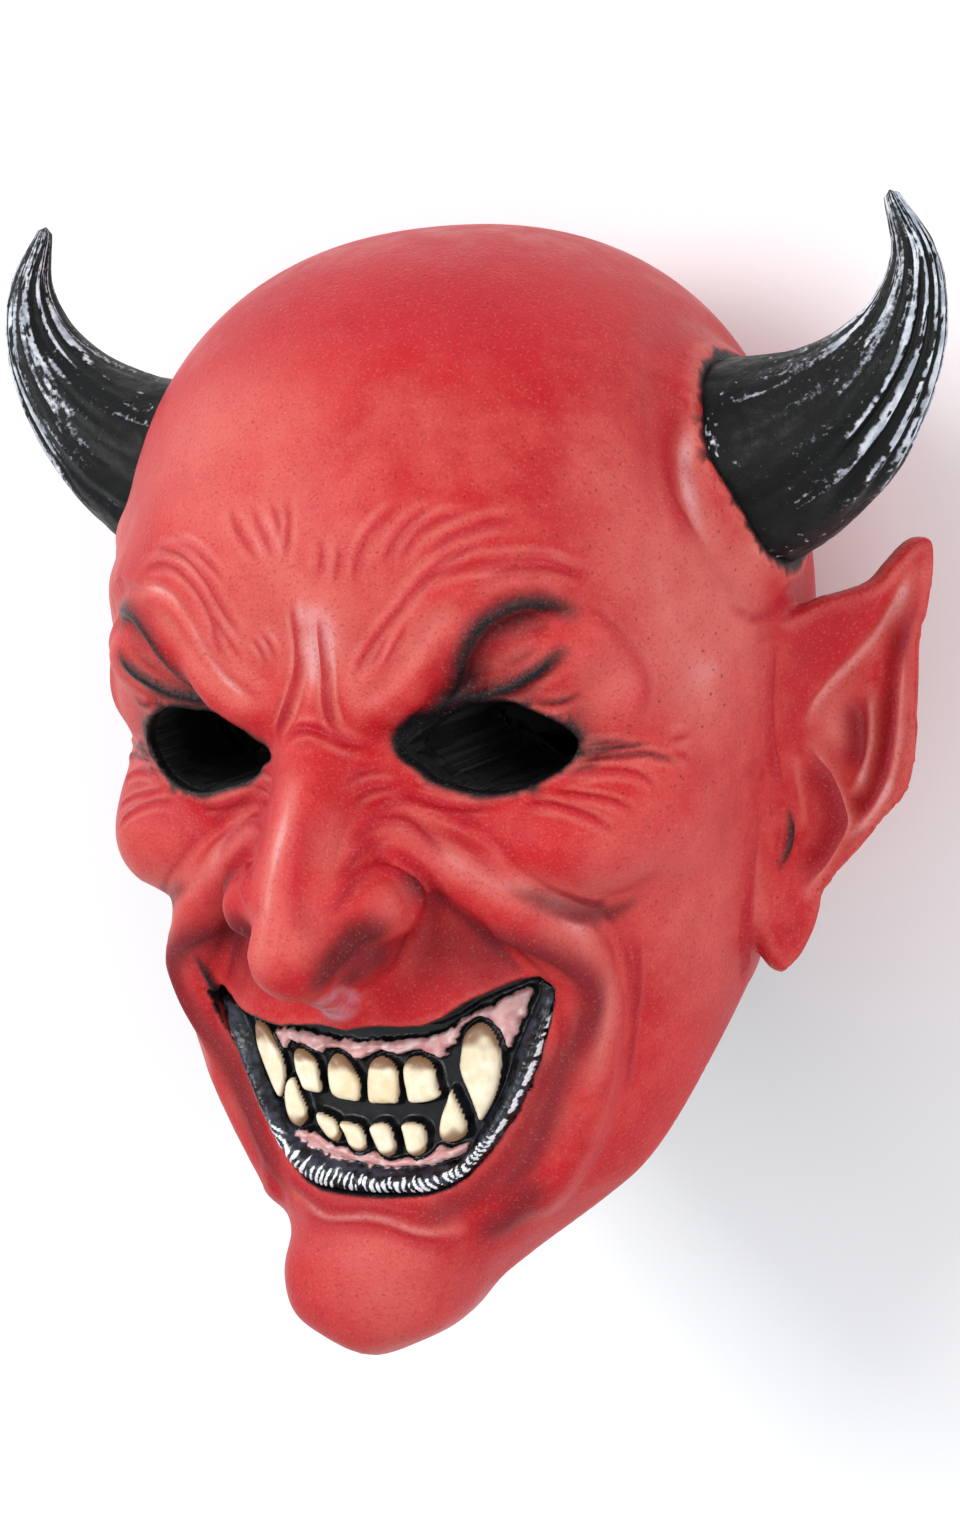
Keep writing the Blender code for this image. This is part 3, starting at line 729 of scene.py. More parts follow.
px_, py_, pz_ = np.abs(skin_P[:, 0]), skin_P[:, 1], skin_P[:, 2]
_above, _below = skin_field(even_P + skin_N * 2.4), skin_field(even_P - skin_N * 2.4)
_bend = (_above + _below - 2 * skin_field(even_P)) / np.maximum(_above - _below, 1.0)
inside_curve = ramp(-_bend, 0.05, 0.5)       # hollows of the large forms, given crimson and maroon painted shade below
outside_curve = ramp(_bend, 0.04, 0.32)      # their crests, given pale paint with painted highlight below
patchy = noise(skin_P, 14, 1) * 0.6 + noise(skin_P, 5, 2) * 0.4

eye_d = np.maximum(eye_field(even_P), 0)
around = np.degrees(np.arctan2(even_P[:, 1] - 12, np.abs(even_P[:, 0]) - 42))
outer_side = ramp(px_, 44, 62) * ramp(np.abs(around), 75, 40)
fringe = ramp(noise(np.column_stack([around * 0.9, eye_d * 0.35, 0 * eye_d]), 7, 3) + 0.5 * noise(np.column_stack([around * 0.9, eye_d * 0.35, 0 * eye_d]), 3, 4), -0.5, 0.9)
rim_black = np.exp(-((eye_d / (1.15 + 0.5 * fringe + 1.3 * fringe * outer_side)) ** 2)) * (pz_ > 30)
lid_black = cover(0.72 * spot(442, 703, 5.5), 0.34 * spot(462, 676, 4.5), 0.2 * spot(484, 692, 5.5), 0.16 * spot(528, 692, 6), 0.3 * spot(578, 716, 4.5), 0.2 * spot(592, 742, 4.5), 0.06 * spot(500, 640, 12))
horn_d = horn_field(skin_P)
collar = ramp(2.0 + 1.3 * noise(skin_P, 2.4, 4) - horn_d, -0.5, 0.5)
grin_top, grin_low = np.interp(px_, MOUTH_X, MOUTH_TOP), np.interp(px_, MOUTH_X, MOUTH_LOW)
_sag = np.where(skin_P[:, 0] < 0, far_sag(np.column_stack([skin_P[:, 0], py_, np.full(len(px_), 60.0)])), 0)
grin_d = np.maximum(np.maximum(py_ + _sag - grin_top, grin_low - py_ - _sag), px_ - 54.5)
grin_black = ramp(0.9 - grin_d, 0, 0.8) * (pz_ > 20) * (grin_d < 2)

black = cover(strokes_paint["black"], rim_black, lid_black * (0.75 + 0.25 * patchy), collar, grin_black)
# maroon painted shade: under the nose and its wings, under the cheek apples and the brow, and in the lower face's
# hollows
maroon = cover(strokes_paint["maroon"], 0.5 * spot(430, 945, 15), 0.8 * spot(378, 956, 7), 0.7 * spot(352, 978, 5, False), 0.45 * spot(492, 962, 12), 0.5 * spot(330, 975, 7, False),
               0.35 * spot(596, 911, 5), 0.2 * spot(480, 625, 10),
               0.35 * inside_curve * ramp(pz_, 30, 60) * ramp(-py_, 5, 30))
# crimson painted shade: creases, hollows, the upper forehead, under the eye, beside the nose and under the chin
crimson = cover(strokes_paint["crimson"], 0.75 * inside_curve, 0.4 * spot(450, 290, 26), 0.15 * spot(610, 390, 16), 0.30 * spot(500, 850, 16), 0.25 * spot(420, 830, 10), 0.20 * spot(330, 1300, 18, False))
# pale: pale paint on the crests, with painted highlight on the planes that face the lamps, on the forehead, frown,
# temple, cheeks, nose and chin
pale = cover(strokes_paint["pale"], 0.5 * outside_curve * (1 - 0.6 * ramp(-py_, -20, 60)), 0.35 * spot(255, 400, 24, False), 0.85 * spot(316, 640, 11, False), 0.5 * spot(290, 580, 26, False), 0.4 * spot(380, 600, 16, False), 0.6 * spot(225, 625, 12, False), 0.35 * spot(230, 460, 30, False), 0.5 * spot(330, 850, 9, False), 0.45 * spot(292, 930, 10, False), 0.4 * spot(395, 905, 7, False), 0.5 * spot(372, 1280, 20, False), 0.4 * spot(560, 1060, 6), 0.35 * spot(600, 880, 9), 0.25 * spot(640, 500, 30, False), 0.3 * spot(600, 670, 14),
             0.75 * spot(715, 650, 27), 0.45 * spot(660, 560, 22), 0.30 * spot(640, 470, 20), 0.35 * spot(430, 420, 18), 0.5 * spot(602, 694, 8), 0.4 * spot(692, 662, 14), 0.35 * spot(270, 960, 6), 0.35 * spot(160, 860, 12, False), 0.5 * spot(560, 920, 6), 0.4 * spot(560, 1120, 7), 0.8 * spot(836, 728, 8), 0.35 * spot(745, 560, 12), 0.25 * spot(640, 850, 14), 0.45 * spot(700, 900, 28), 0.6 * spot(590, 935, 9), 0.3 * spot(380, 1290, 16, False)) * (0.85 + 0.3 * patchy)
lower = ramp(-py_, 120, 150)
# painted shade: deeper crimson towards the crown, the chin's underside and the back of the head, and in the ear's upper
# channel
crimson = np.clip(cover(crimson, 0.25 * ramp(-py_, 90, 140), 0.55 * ramp(py_ + 0.25 * pz_, 96, 150), 0.4 * ramp(-pz_, 10, 60), 0.75 * spot(806, 650, 9), 0.75 * spot(832, 628, 9), 0.5 * spot(862, 600, 7)), 0, 1)
# a painted highlight under the nose: a lavender-white oval laid along the camera's sight line
_at, _, _, _ = TREE.ray_cast(Vector(C_EYE), Vector(sight(336, 1006)))
_to = skin_P - np.array(_at[:])
_line = sight(336, 1006)
_to = _to - (_to @ _line)[:, None] * _line * 0.5
oval_highlight = ramp(8.0 - np.linalg.norm(_to * (1, 1.2, 1), axis=1), 0, 3.6)
_crest = np.clip(0.85 * strokes_paint["pale"], 0, 0.8) * ramp(px_, 82, 92)      # the ear's ridges keep their pale paint and painted highlight beside the painted shade of its folds
crimson, maroon, pale = crimson * (1 - 0.85 * _crest), maroon * (1 - 0.9 * _crest), np.maximum(pale, _crest)
speckle = cover(0.8 * spot(720, 650, 34, False), 0.6 * spot(680, 800, 26, False), 0.5 * spot(560, 500, 30, False), 0.35 * spot(400, 520, 30, False), 0.7 * spot(760, 900, 26, False), 0.3 * spot(350, 1230, 26, False), 0.25 + 0 * px_)

marks = np.column_stack([crimson, pale, black]) * 1.0
tones = np.column_stack([maroon, speckle, oval_highlight]) * 1.0
note("paint masks")

# the casting's vertices take the masks of the skin they were cut from; the hollow's own are marked inner and painted
# near-black, painted shade for the dark seen through the eye holes
final = vert_array(devil.data) * 1000 + (0, MIDDLE_Y, FLAT_Z)
key = {}
kd = KDTree(len(skin_P))
for i, co in enumerate(skin_P.tolist()):
    kd.insert(co, i)
kd.balance()
near_id, near_d = np.zeros(len(final), int), np.zeros(len(final))
for i, co in enumerate(final.tolist()):
    _, near_id[i], near_d[i] = kd.find(co)
_even = final + np.column_stack([4.2 * ramp(-final[:, 1], 108, 134) * ramp(final[:, 2], 10, 50), 0 * final[:, 0], 0 * final[:, 0]])
_deep = hollow_field(_even)
# inner marks the hollow's surface, painted near-black in the material as painted shade
inner = np.maximum(ramp(near_d, 0.2, 1.2) * (_deep < 1.2), (_deep < 0.3) * 1.0)
marks, tones = np.clip(marks[near_id], 0, 1), np.clip(tones[near_id], 0, 1)


def colour_attribute(mesh, name, values):
    layer = mesh.color_attributes.new(name, "FLOAT_COLOR", "POINT")
    rgba = np.ones((len(mesh.vertices), 4))
    rgba[:, :3] = values
    layer.data.foreach_set("color", rgba.ravel().astype(np.float32))


colour_attribute(devil.data, "marks", marks)
colour_attribute(devil.data, "tones", tones)
colour_attribute(devil.data, "inner", np.column_stack([inner, inner, inner]))
note("masks on the casting")


def thinned(ob, most, keep):
    """Collapses the faces that add least to the form, down to this many triangles. keep (0 to 1 a point) spares painted edges."""
    ob.data.calc_loop_triangles()
    count = len(ob.data.loop_triangles)
    if count <= most:
        return
    group = ob.vertex_groups.new(name="thin")
    level = np.round(1 - 0.6 * keep, 1)
    for value in np.unique(level):
        group.add(np.nonzero(level == value)[0].tolist(), float(value), "REPLACE")
    ob.data.transform(Matrix.Diagonal((1000, 1000, 1000, 1)))
    thin = ob.modifiers.new("thin", "DECIMATE")
    thin.ratio, thin.vertex_group, thin.vertex_group_factor = most / count, "thin", 2e-5
    apply_modifiers(ob)
    ob.data.transform(Matrix.Diagonal((0.001, 0.001, 0.001, 1)))
    ob.vertex_groups.clear()
    ob.data.calc_loop_triangles()
    note(f"{ob.name} thinned from {count} to {len(ob.data.loop_triangles)} triangles")


_front = ramp(final[:, 2], 40, 70) * ramp(-near_d, -1.0, -0.2)
_edge = np.clip(np.maximum(marks[:, 2], 0.8 * tones[:, 0]) * 3, 0, 1)
thinned(devil, 190000, np.clip(0.35 * _front + 0.65 * _edge * (1 - inner), 0, 1))


# ------------------------------------------------------------------ the grin: gums, teeth and the black lip, one moulded insert
def landed(rows, front, spread=0.0068):
    """Points (x, y) where the camera's sights through an enlarged part of the frame meet the mouth's curved front."""
    out = []
    for X, Y in rows:
        d = sight(205 + X / 4.3556, 975 + Y / 4.3556)
        z = front
        for _ in range(10):
            at = C_EYE + d * ((z - C_EYE[2]) / d[2])
            z = front - spread * at[0] ** 2
        out.append(at[:2])
    return np.array(out)


UPPER_TEETH = [
    [(205, 208), (240, 215), (270, 250), (300, 310), (325, 370), (338, 430), (335, 490), (318, 542), (288, 500), (262, 440), (235, 370), (212, 300)],
    [(372, 338), (402, 326), (440, 348), (470, 385), (485, 440), (495, 515), (460, 520), (420, 505), (398, 460), (378, 410)],
    [(520, 392), (545, 350), (580, 352), (612, 385), (642, 430), (665, 482), (660, 555), (618, 557), (568, 546), (538, 520), (522, 460)],
    [(695, 412), (715, 374), (750, 360), (787, 373), (817, 408), (832, 460), (830, 560), (790, 570), (744, 570), (704, 562), (692, 500)],
    [(845, 432), (855, 384), (890, 360), (932, 363), (967, 384), (992, 430), (1002, 490), (1014, 532), (980, 556), (930, 567), (878, 563), (860, 510)],
    [(1095, 362), (1105, 290), (1130, 240), (1180, 213), (1227, 235), (1264, 300), (1280, 380), (1272, 470), (1252, 540), (1217, 610), (1185, 648), (1160, 590), (1133, 520), (1106, 460), (1092, 410)]]
LOWER_TEETH = [
    [(365, 448), (387, 460), (407, 520), (432, 580), (437, 630), (405, 668), (370, 652), (346, 600), (336, 530), (345, 470)],
    [(478, 600), (520, 613), (560, 638), (582, 700), (568, 734), (530, 720), (500, 680), (478, 640)],
    [(575, 645), (620, 645), (667, 663), (694, 722), (690, 768), (650, 778), (616, 746), (598, 700)],
    [(705, 665), (750, 645), (792, 658), (814, 710), (822, 772), (795, 800), (753, 786), (723, 730)],
    [(845, 655), (890, 645), (942, 662), (957, 720), (947, 780), (905, 800), (868, 776), (853, 710)],
    [(1062, 500), (1087, 545), (1112, 600), (1132, 660), (1127, 705), (1075, 737), (1025, 732), (1006, 690), (1016, 620), (1040, 555)]]
UPPER_GUM = [(205, 225), (300, 238), (400, 252), (500, 284), (580, 300), (700, 305), (820, 300), (950, 283), (1040, 252), (1100, 212), (1200, 158), (1300, 108), (1405, 68), (1395, 120), (1362, 205), (1335, 262), (1300, 330), (1285, 290), (1245, 215), (1180, 188), (1112, 222), (1072, 285), (1042, 330), (1000, 372), (960, 352), (890, 335), (850, 352), (800, 352), (750, 342), (690, 360), (652, 372), (600, 350), (560, 330), (500, 330), (470, 345), (400, 305), (350, 290), (328, 330), (290, 290), (240, 240)]
LOWER_GUM = [(388, 692), (440, 688), (478, 700), (510, 735), (580, 752), (640, 775), (720, 785), (790, 808), (880, 806), (960, 788), (1000, 758), (1060, 765), (1120, 750), (1100, 785), (1045, 815), (950, 838), (850, 848), (750, 845), (640, 826), (540, 798), (460, 765), (410, 730)]
INNER_LIP = [(150, 120), (180, 260), (215, 380), (250, 470), (300, 580), (350, 660), (400, 740), (480, 792), (560, 818), (640, 842), (760, 862), (860, 864), (960, 852), (1060, 830), (1120, 780), (1172, 690), (1230, 590), (1280, 480), (1320, 350), (1370, 230), (1435, 60), (1350, 20), (1200, 60), (1000, 180), (800, 190), (600, 220), (400, 190), (220, 150)]


def mouth_insert():
    g = 0.46
    xs, ys = np.arange(-60, 60, g), np.arange(-112, -42, g)
    X, Y = [a.ravel() for a in np.meshgrid(xs, ys, indexing="ij")]
    ax = np.abs(X)
    flat = np.column_stack([X, Y, np.full(len(X), 60.0)])
    sag = np.where(X < 0, far_sag(flat), 0)
    top, low = np.interp(ax, MOUTH_X, MOUTH_TOP), np.interp(ax, MOUTH_X, MOUTH_LOW)
    rim = np.maximum(np.maximum(Y + sag - top, low - Y - sag), ax - 54.5)     # > 0 is under the skin
    kept = rim < 1.5
    x, y, rim = X[kept], Y[kept], rim[kept]
    back = sunk(x)

    def to(rows, front, smooth=4):
        ring = landed(rows, front)
        return polygon(x, y, loop_spline(ring, smooth * len(ring)))

    uppers = [to(r, 78.0) for r in UPPER_TEETH]
    lowers = [to(r, 77.5) for r in LOWER_TEETH]
    gum = np.minimum(to(UPPER_GUM, 77.0, 3), to(LOWER_GUM, 77.0, 3))
    inner = to(INNER_LIP, 79.0, 3)
    tooth = np.minimum.reduce(uppers + lowers)
    Q = np.column_stack([x, y, back])
    fine, mid = noise(Q, 1.1, 5), noise(Q, 3.0, 6)

    height = np.full(len(x), 2.2)
    gum = gum + 0.55 * noise(Q, 1.6, 16) + 0.35 * noise(Q, 0.9, 17)
    gum_rise = ramp(-gum, -1.2, 1.0)
    height = height * (1 - gum_rise) + gum_rise * (4.9 + 0.25 * mid + 0.5 * np.exp(-(((tooth - 2.2) / 1.2) ** 2)))
    stain = np.zeros(len(x))
    for d, rows, up in [(d, r, 1) for d, r in zip(uppers, UPPER_TEETH)] + [(d, r, -1) for d, r in zip(lowers, LOWER_TEETH)]:
        ring = landed(rows, 78.0)
        lo, hi = ring[:, 1].min(), ring[:, 1].max()
        t = (y - lo) / (hi - lo) if up > 0 else (hi - y) / (hi - lo)           # 1 at the gum
        size = min(3.0, 0.45 * (ring[:, 0].max() - ring[:, 0].min()))
        body = np.sqrt(np.clip(1 - (1 - np.clip(-d / size, 0, 1)) ** 2, 0, 1))
        rise = 4.2 + 3.4 * body + 0.5 * (1 - t) + 0.10 * mid * body
        wall = ramp(0.95 - d, 0, 1.5)
        height = np.maximum(height, rise * wall + height * (1 - wall))
        stain = np.maximum(stain, np.where(d < 0.3, ramp(t + 0.12 * mid, 0.60, 0.95) + 0.8 * np.exp(-((d / 0.6) ** 2)), 0))
    stain = np.where(tooth > 0.3, cover(0.8 * ramp(x, 34, 50), 0.75 * np.exp(-(((tooth - 0.7) / 0.8) ** 2)), 0.4 * ramp(mid, 0.1, 0.6)), stain)
    outside = np.clip(inner, 0, None)
    to_rim = np.clip(-rim, 0, None)
    across = outside / (outside + to_rim + 1e-6)
    lip = ramp(inner, -0.7, 0.5) * (y < top[kept] - 1.5)
    roll = 3.6 + 5.0 * np.sin(np.pi * np.clip(across, 0, 1) * 0.86) ** 0.8
    turn = np.arctan2(y + 72, x * 0.95)
    bottom = ramp(-y, 88, 99)
    along = turn * (36 + 6 * bottom)
    comb = np.sin(along * 2 * math.pi / 2.1 + 3.0 * noise(Q, 4, 8)) * 0.6 + 0.75 * noise(np.column_stack([along, across * 3, 0 * along]), 1.1, 9)
    ribs = np.where(comb > 0, comb, comb * 0.6) * (0.30 + 0.35 * bottom) * ramp(across, 0.15, 0.5)
    roll = roll + ribs * 0.9 + 0.12 * fine
    height = height * (1 - lip) + roll * lip
    upper_edge = ramp(y - (top[kept] - sag[kept] * (x < 0) - 2.6), 0, 2.6)
    height = np.maximum(height, upper_edge * 5.0 * (1 - ramp(-inner, -20, -60)))
    reach_in = 0.26 + 0.28 * noise(np.column_stack([along, 0 * along, 0 * along]), 1.3, 14)
    # crest: white on the lower lip's ribs, dry-brushed paint with painted highlight; glint adds painted highlight along
    # the lower lip
    crest = ramp(comb + 0.3 * noise(Q, 0.9, 15), 0.0, 0.5) * lip * (ramp(across, reach_in, reach_in + 0.14) * ramp(1 - across, 0.04, 0.16)) * (0.25 + 0.75 * bottom)
    edge_line = np.exp(-(((across - 0.84) / 0.11) ** 2)) * lip * (1 - bottom) * ramp(noise(Q, 1.0, 11), -0.4, 0.1)
    glint = 0.35 * np.exp(-(((across - 0.3) / 0.16) ** 2)) * lip * bottom * ramp(noise(Q, 3.4, 12), -0.5, 0.5)
    crest = np.clip(crest + edge_line + glint, 0, 1) * np.maximum(ramp(-y, 60, 66), ramp(x, -40, -34))
    # painted highlight along the gums' edges
    gum_highlight = np.exp(-(((gum + 0.7) / 0.5) ** 2)) * ramp(noise(Q, 2.2, 13), -0.1, 0.5)
    z = back + height
    z = z - ramp(rim, -0.6, 0.8) * 1.2
    full = -np.ones(len(X), int)
    full[kept] = np.arange(kept.sum())
    full = full.reshape(len(xs), len(ys))
    a, b, c, d = full[:-1, :-1], full[1:, :-1], full[1:, 1:], full[:-1, 1:]
    ok = (a >= 0) & (b >= 0) & (c >= 0) & (d >= 0)
    quads = np.column_stack([a[ok], b[ok], c[ok], d[ok]])
    used = np.unique(quads)
    again = -np.ones(len(x), int)
    again[used] = np.arange(len(used))
    quads = again[quads]
    x, y, z, back = x[used], y[used], z[used], back[used]
    n = len(used)
    P = np.vstack([np.column_stack([x, y, z]), np.column_stack([x, y, np.minimum(back - 1.2, z - 0.6)])])
    under = quads[:, ::-1] + n
    ends = np.concatenate([quads[:, [0, 1]], quads[:, [1, 2]], quads[:, [2, 3]], quads[:, [3, 0]]])
    codes = ends[:, 0].astype(np.int64) * n + ends[:, 1]
    back_codes = ends[:, 1].astype(np.int64) * n + ends[:, 0]
    border = ends[~np.isin(codes, back_codes)]
    sides = np.column_stack([border[:, 1], border[:, 0], border[:, 0] + n, border[:, 1] + n])
    faces = np.vstack([quads, under, sides])
    ob = mesh_object("grin_insert", P, faces)
    pad = lambda v: np.concatenate([v[used], np.zeros(n)])
    colour_attribute(ob.data, "mouth", np.column_stack([pad(ramp(-tooth, 0.0, 0.5)), pad(gum_rise * ramp(tooth + 0.25 * fine, 0.8, 1.5)), pad(crest)]))
    colour_attribute(ob.data, "mouth_stain_glint_lip", np.column_stack([pad(np.clip(stain, 0, 1)), pad(gum_highlight), pad(lip)]))
    return ob


grin = mouth_insert()
note(f"grin insert {len(grin.data.polygons)} faces")


# ------------------------------------------------------------------ horns
# grooves run along the horn: degrees round from the outer curve (90 = front), start and end along it, depth, width in degrees
GROOVES = [(14, 0.34, 0.93, 1.3, 4.5), (33, 0.30, 0.90, 1.7, 5.5), (53, 0.36, 0.84, 1.5, 5), (66, 0.10, 0.70, 0.7, 5), (84, 0.42, 0.80, 0.5, 4), (100, 0.12, 0.52, 0.35, 4),
           (118, 0.62, 0.96, 1.1, 8), (146, 0.58, 0.93, 0.8, 6), (-12, 0.30, 0.90, 1.2, 5), (-34, 0.34, 0.86, 1.5, 5.5), (-58, 0.25, 0.8, 0.9, 5), (-82, 0.2, 0.7, 0.6, 5), (-110, 0.5, 0.92, 0.9, 7), (178, 0.6, 0.92, 0.6, 6)]


def horn_piece(side):
    across, along = ((150, 210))
    rows = spline(HORN, 600)
    step = np.linalg.norm(np.diff(rows[:, :3], axis=0), axis=1)
    s = np.concatenate([[0], np.cumsum(step)])
    want = np.linspace(0, s[-1], along)
    R = np.column_stack([np.interp(want, s, rows[:, k]) for k in range(4)])
    T = np.gradient(R[:, :3], axis=0)
    T /= np.linalg.norm(T, axis=1)[:, None]
    out = np.cross(T, np.array([0.0, 0.0, 1.0]))
    out /= np.linalg.norm(out, axis=1)[:, None]       # points to the convex side of the curve
    up = np.cross(out, T)
    a = np.linspace(0, 2 * math.pi, across, endpoint=False)
    t = want / s[-1]
    A, S = np.meshgrid(a, t)
    rad = np.repeat(R[:, 3:4], across, 1)
    ring = (np.cos(A)[..., None] * out[:, None, :] + np.sin(A)[..., None] * up[:, None, :])
    plain = (R[:, None, :3] + ring * rad[..., None]).reshape(-1, 3)
    A, S, rad = A.ravel(), S.ravel(), rad.ravel()
    turn = np.column_stack([np.cos(A) * 30, np.sin(A) * 30, S * 170 + (0 if side > 0 else 400)])
    wander = noise(turn * (1, 1, 0.35), 22, 20) * 5
    deg = (np.degrees(A) + wander + 180) % 360 - 180
    cut = np.zeros(len(A))
    for at, s0, s1, deep, wide in GROOVES:
        at = at + 9 * (S - 0.5)
        gap = np.abs((deg - at + 180) % 360 - 180)
        length = ramp(S, s0 - 0.05, s0 + 0.09) * (1 - ramp(S, s1 - 0.07, s1 + 0.02))
        cut = np.maximum(cut, deep * np.exp(-((gap / wide) ** 2)) * length)
    size = np.clip(rad / 16, 0.16, 1.25)
    fibre = noise(turn * (1, 1, 0.045), 1.7, 21) * 0.6 + noise(turn * (1, 1, 0.06), 3.6, 22) * 0.4
    lumps = noise(plain, 7, 23) * 0.5 + noise(plain, 3, 24) * 0.3
    low = 1 - ramp(S, 0.14, 0.36)
    relief = -cut * size + fibre * 0.42 * size * (0.25 + 0.75 * ramp(S, 0.2, 0.45)) + lumps * (0.25 + 0.9 * low)
    swell = np.zeros(len(A))
    for at, s0, s1, deep, wide in GROOVES:
        gap = np.abs((deg - (at + 9 * (S - 0.5)) + 180) % 360 - 180)
        length = ramp(S, s0 - 0.05, s0 + 0.09) * (1 - ramp(S, s1 - 0.07, s1 + 0.02))
        swell = np.maximum(swell, 0.32 * deep * np.exp(-(((gap - 2.1 * wide) / (0.9 * wide)) ** 2)) * length)
    relief = (relief + swell * size) * (1 - 0.6 * ramp(S, 0.95, 1))
    P = plain + ring.reshape(-1, 3) * relief[:, None]
    P = np.vstack([P, R[:1, :3], R[-1:, :3] + T[-1:] * 1.6])
    # where the silver dry-brush catches: crests of the outer half; facing weights it to the sides where the light
    # catches the horn, a painted sheen
    upper = ramp(S, 0.26, 0.5)
    streak = ramp(fibre * 0.9 + swell * 1.5 - cut * 0.9 + 0.3 * noise(turn * (1, 1, 0.2), 6, 25), -0.32, 0.3)
    facing = 0.35 + 0.65 * np.maximum(np.exp(-(((deg - 28) / 44) ** 2)), np.maximum(np.exp(-(((deg - 138) / 30) ** 2)) * ramp(S, 0.5, 0.62), 0.7 * np.exp(-(((deg + 50) / 50) ** 2))))
    streak = streak * ramp(noise(turn * (1, 1, 0.30), 2.2, 31) + 0.6 * noise(turn * (1, 1, 0.6), 1.2, 32), -0.75, 0.05)
    silver_and_sheen = streak * upper * facing
    scratch = ramp(noise(turn * (1, 1, 0.10), 1.2, 26), 0.45, 0.8) * ramp(noise(plain, 12, 27), -0.2, 0.5) * 0.45
    flecks = ramp(noise(plain, 1.2, 28), 0.36, 0.7) * ramp(noise(plain, 9, 29), -0.5, 0.3) * (0.2 + 0.4 * low)
    silver_and_sheen = np.clip(np.maximum(silver_and_sheen, np.maximum(scratch * (0.3 + 0.7 * (1 - low)), flecks)), 0, 1)
    deepest = np.clip(cut / 1.2, 0, 1)
    silver_and_sheen, deepest = np.concatenate([silver_and_sheen, [0, 0.2]]), np.concatenate([deepest, [0, 0]])
    faces = []
    for i in range(along - 1):
        for j in range(across):
            k = (j + 1) % across
            faces.append((i * across + j, i * across + k, (i + 1) * across + k, (i + 1) * across + j))
    base, tip = len(P) - 2, len(P) - 1
    for j in range(across):
        k = (j + 1) % across
        faces.append((base, k, j))
        faces.append((tip, (along - 1) * across + j, (along - 1) * across + k))
    if side < 0:
        P[:, 1] += FAR_LIFT * np.clip((P[:, 0] - 85) / 45, 0, 1)
        P[:, 0] *= -1
    else:
        faces = [f[::-1] for f in faces]
    ob = mesh_object("horn_left" if side > 0 else "horn_right", P, faces)
    colour_attribute(ob.data, "horn", np.column_stack([silver_and_sheen, deepest, np.zeros(len(silver_and_sheen))]))
    return ob


horns = [horn_piece(1), horn_piece(-1)]
note("horns")


# ------------------------------------------------------------------ looks
class Nodes:
    """Short-hand for a material's node tree."""

    def __init__(self, name):
        self.material = bpy.data.materials.new(name)
        self.material.use_nodes = True
        self.tree = self.material.node_tree
        self.shader = self.tree.nodes["Principled BSDF"]

    def add(self, kind, **values):
        node = self.tree.nodes.new(kind)
        for k, v in values.items():
            setattr(node, k, v)
        return node

    def feed(self, socket, value):
        if isinstance(value, bpy.types.NodeSocket):
            self.tree.links.new(value, socket)
        elif isinstance(value, (tuple, list)):
            socket.default_value = (*value, 1) if len(value) == 3 and socket.type == "RGBA" else value
        else:
            socket.default_value = value

    def attribute(self, name):
        node = self.add("ShaderNodeAttribute", attribute_name=name)
        split = self.add("ShaderNodeSeparateColor")
        self.feed(split.inputs[0], node.outputs["Color"])
        return split.outputs[0], split.outputs[1], split.outputs[2]

    def place(self):
        return self.add("ShaderNodeTexCoord").outputs["Object"]

    def noise(self, scale, detail=3.0, rough=0.55, at=None):
        node = self.add("ShaderNodeTexNoise")
        self.feed(node.inputs["Vector"], at if at is not None else self.place())
        node.inputs["Scale"].default_value, node.inputs["Detail"].default_value, node.inputs["Roughness"].default_value = scale, detail, rough
        return node.outputs["Fac"]

    def cells(self, scale, at=None, feature="F1", random=1.0):
        node = self.add("ShaderNodeTexVoronoi", feature=feature)
        self.feed(node.inputs["Vector"], at if at is not None else self.place())
        node.inputs["Scale"].default_value, node.inputs["Randomness"].default_value = scale, random
        return node.outputs["Distance"]

    def math(self, kind, a, b=0.0, clamp=False):
        node = self.add("ShaderNodeMath", operation=kind, use_clamp=clamp)
        self.feed(node.inputs[0], a)
        self.feed(node.inputs[1], b)
        return node.outputs[0]

    def span(self, value, a, b, c=0.0, d=1.0, smooth=True):
        node = self.add("ShaderNodeMapRange", interpolation_type="SMOOTHSTEP" if smooth else "LINEAR")
        for k, v in zip(("Value", "From Min", "From Max", "To Min", "To Max"), (value, a, b, c, d)):
            self.feed(node.inputs[k], v)
        return node.outputs["Result"]

    def mix(self, fac, a, b, kind="MIX"):
        node = self.add("ShaderNodeMix", data_type="RGBA", blend_type=kind)
        self.feed(node.inputs[0], fac)
        self.feed(node.inputs[6], a)
        self.feed(node.inputs[7], b)
        return node.outputs[2]

    def bump(self, height, strength, distance, before=None):
        node = self.add("ShaderNodeBump")
        node.inputs["Strength"].default_value, node.inputs["Distance"].default_value = strength, distance
        self.feed(node.inputs["Height"], height)
        if before is not None:
            self.feed(node.inputs["Normal"], before)
        return node.outputs["Normal"]


def lin(r, g, b):
    return tuple((v / 255 / 12.92) if v / 255 <= 0.04045 else ((v / 255 + 0.055) / 1.055) ** 2.4 for v in (r, g, b))


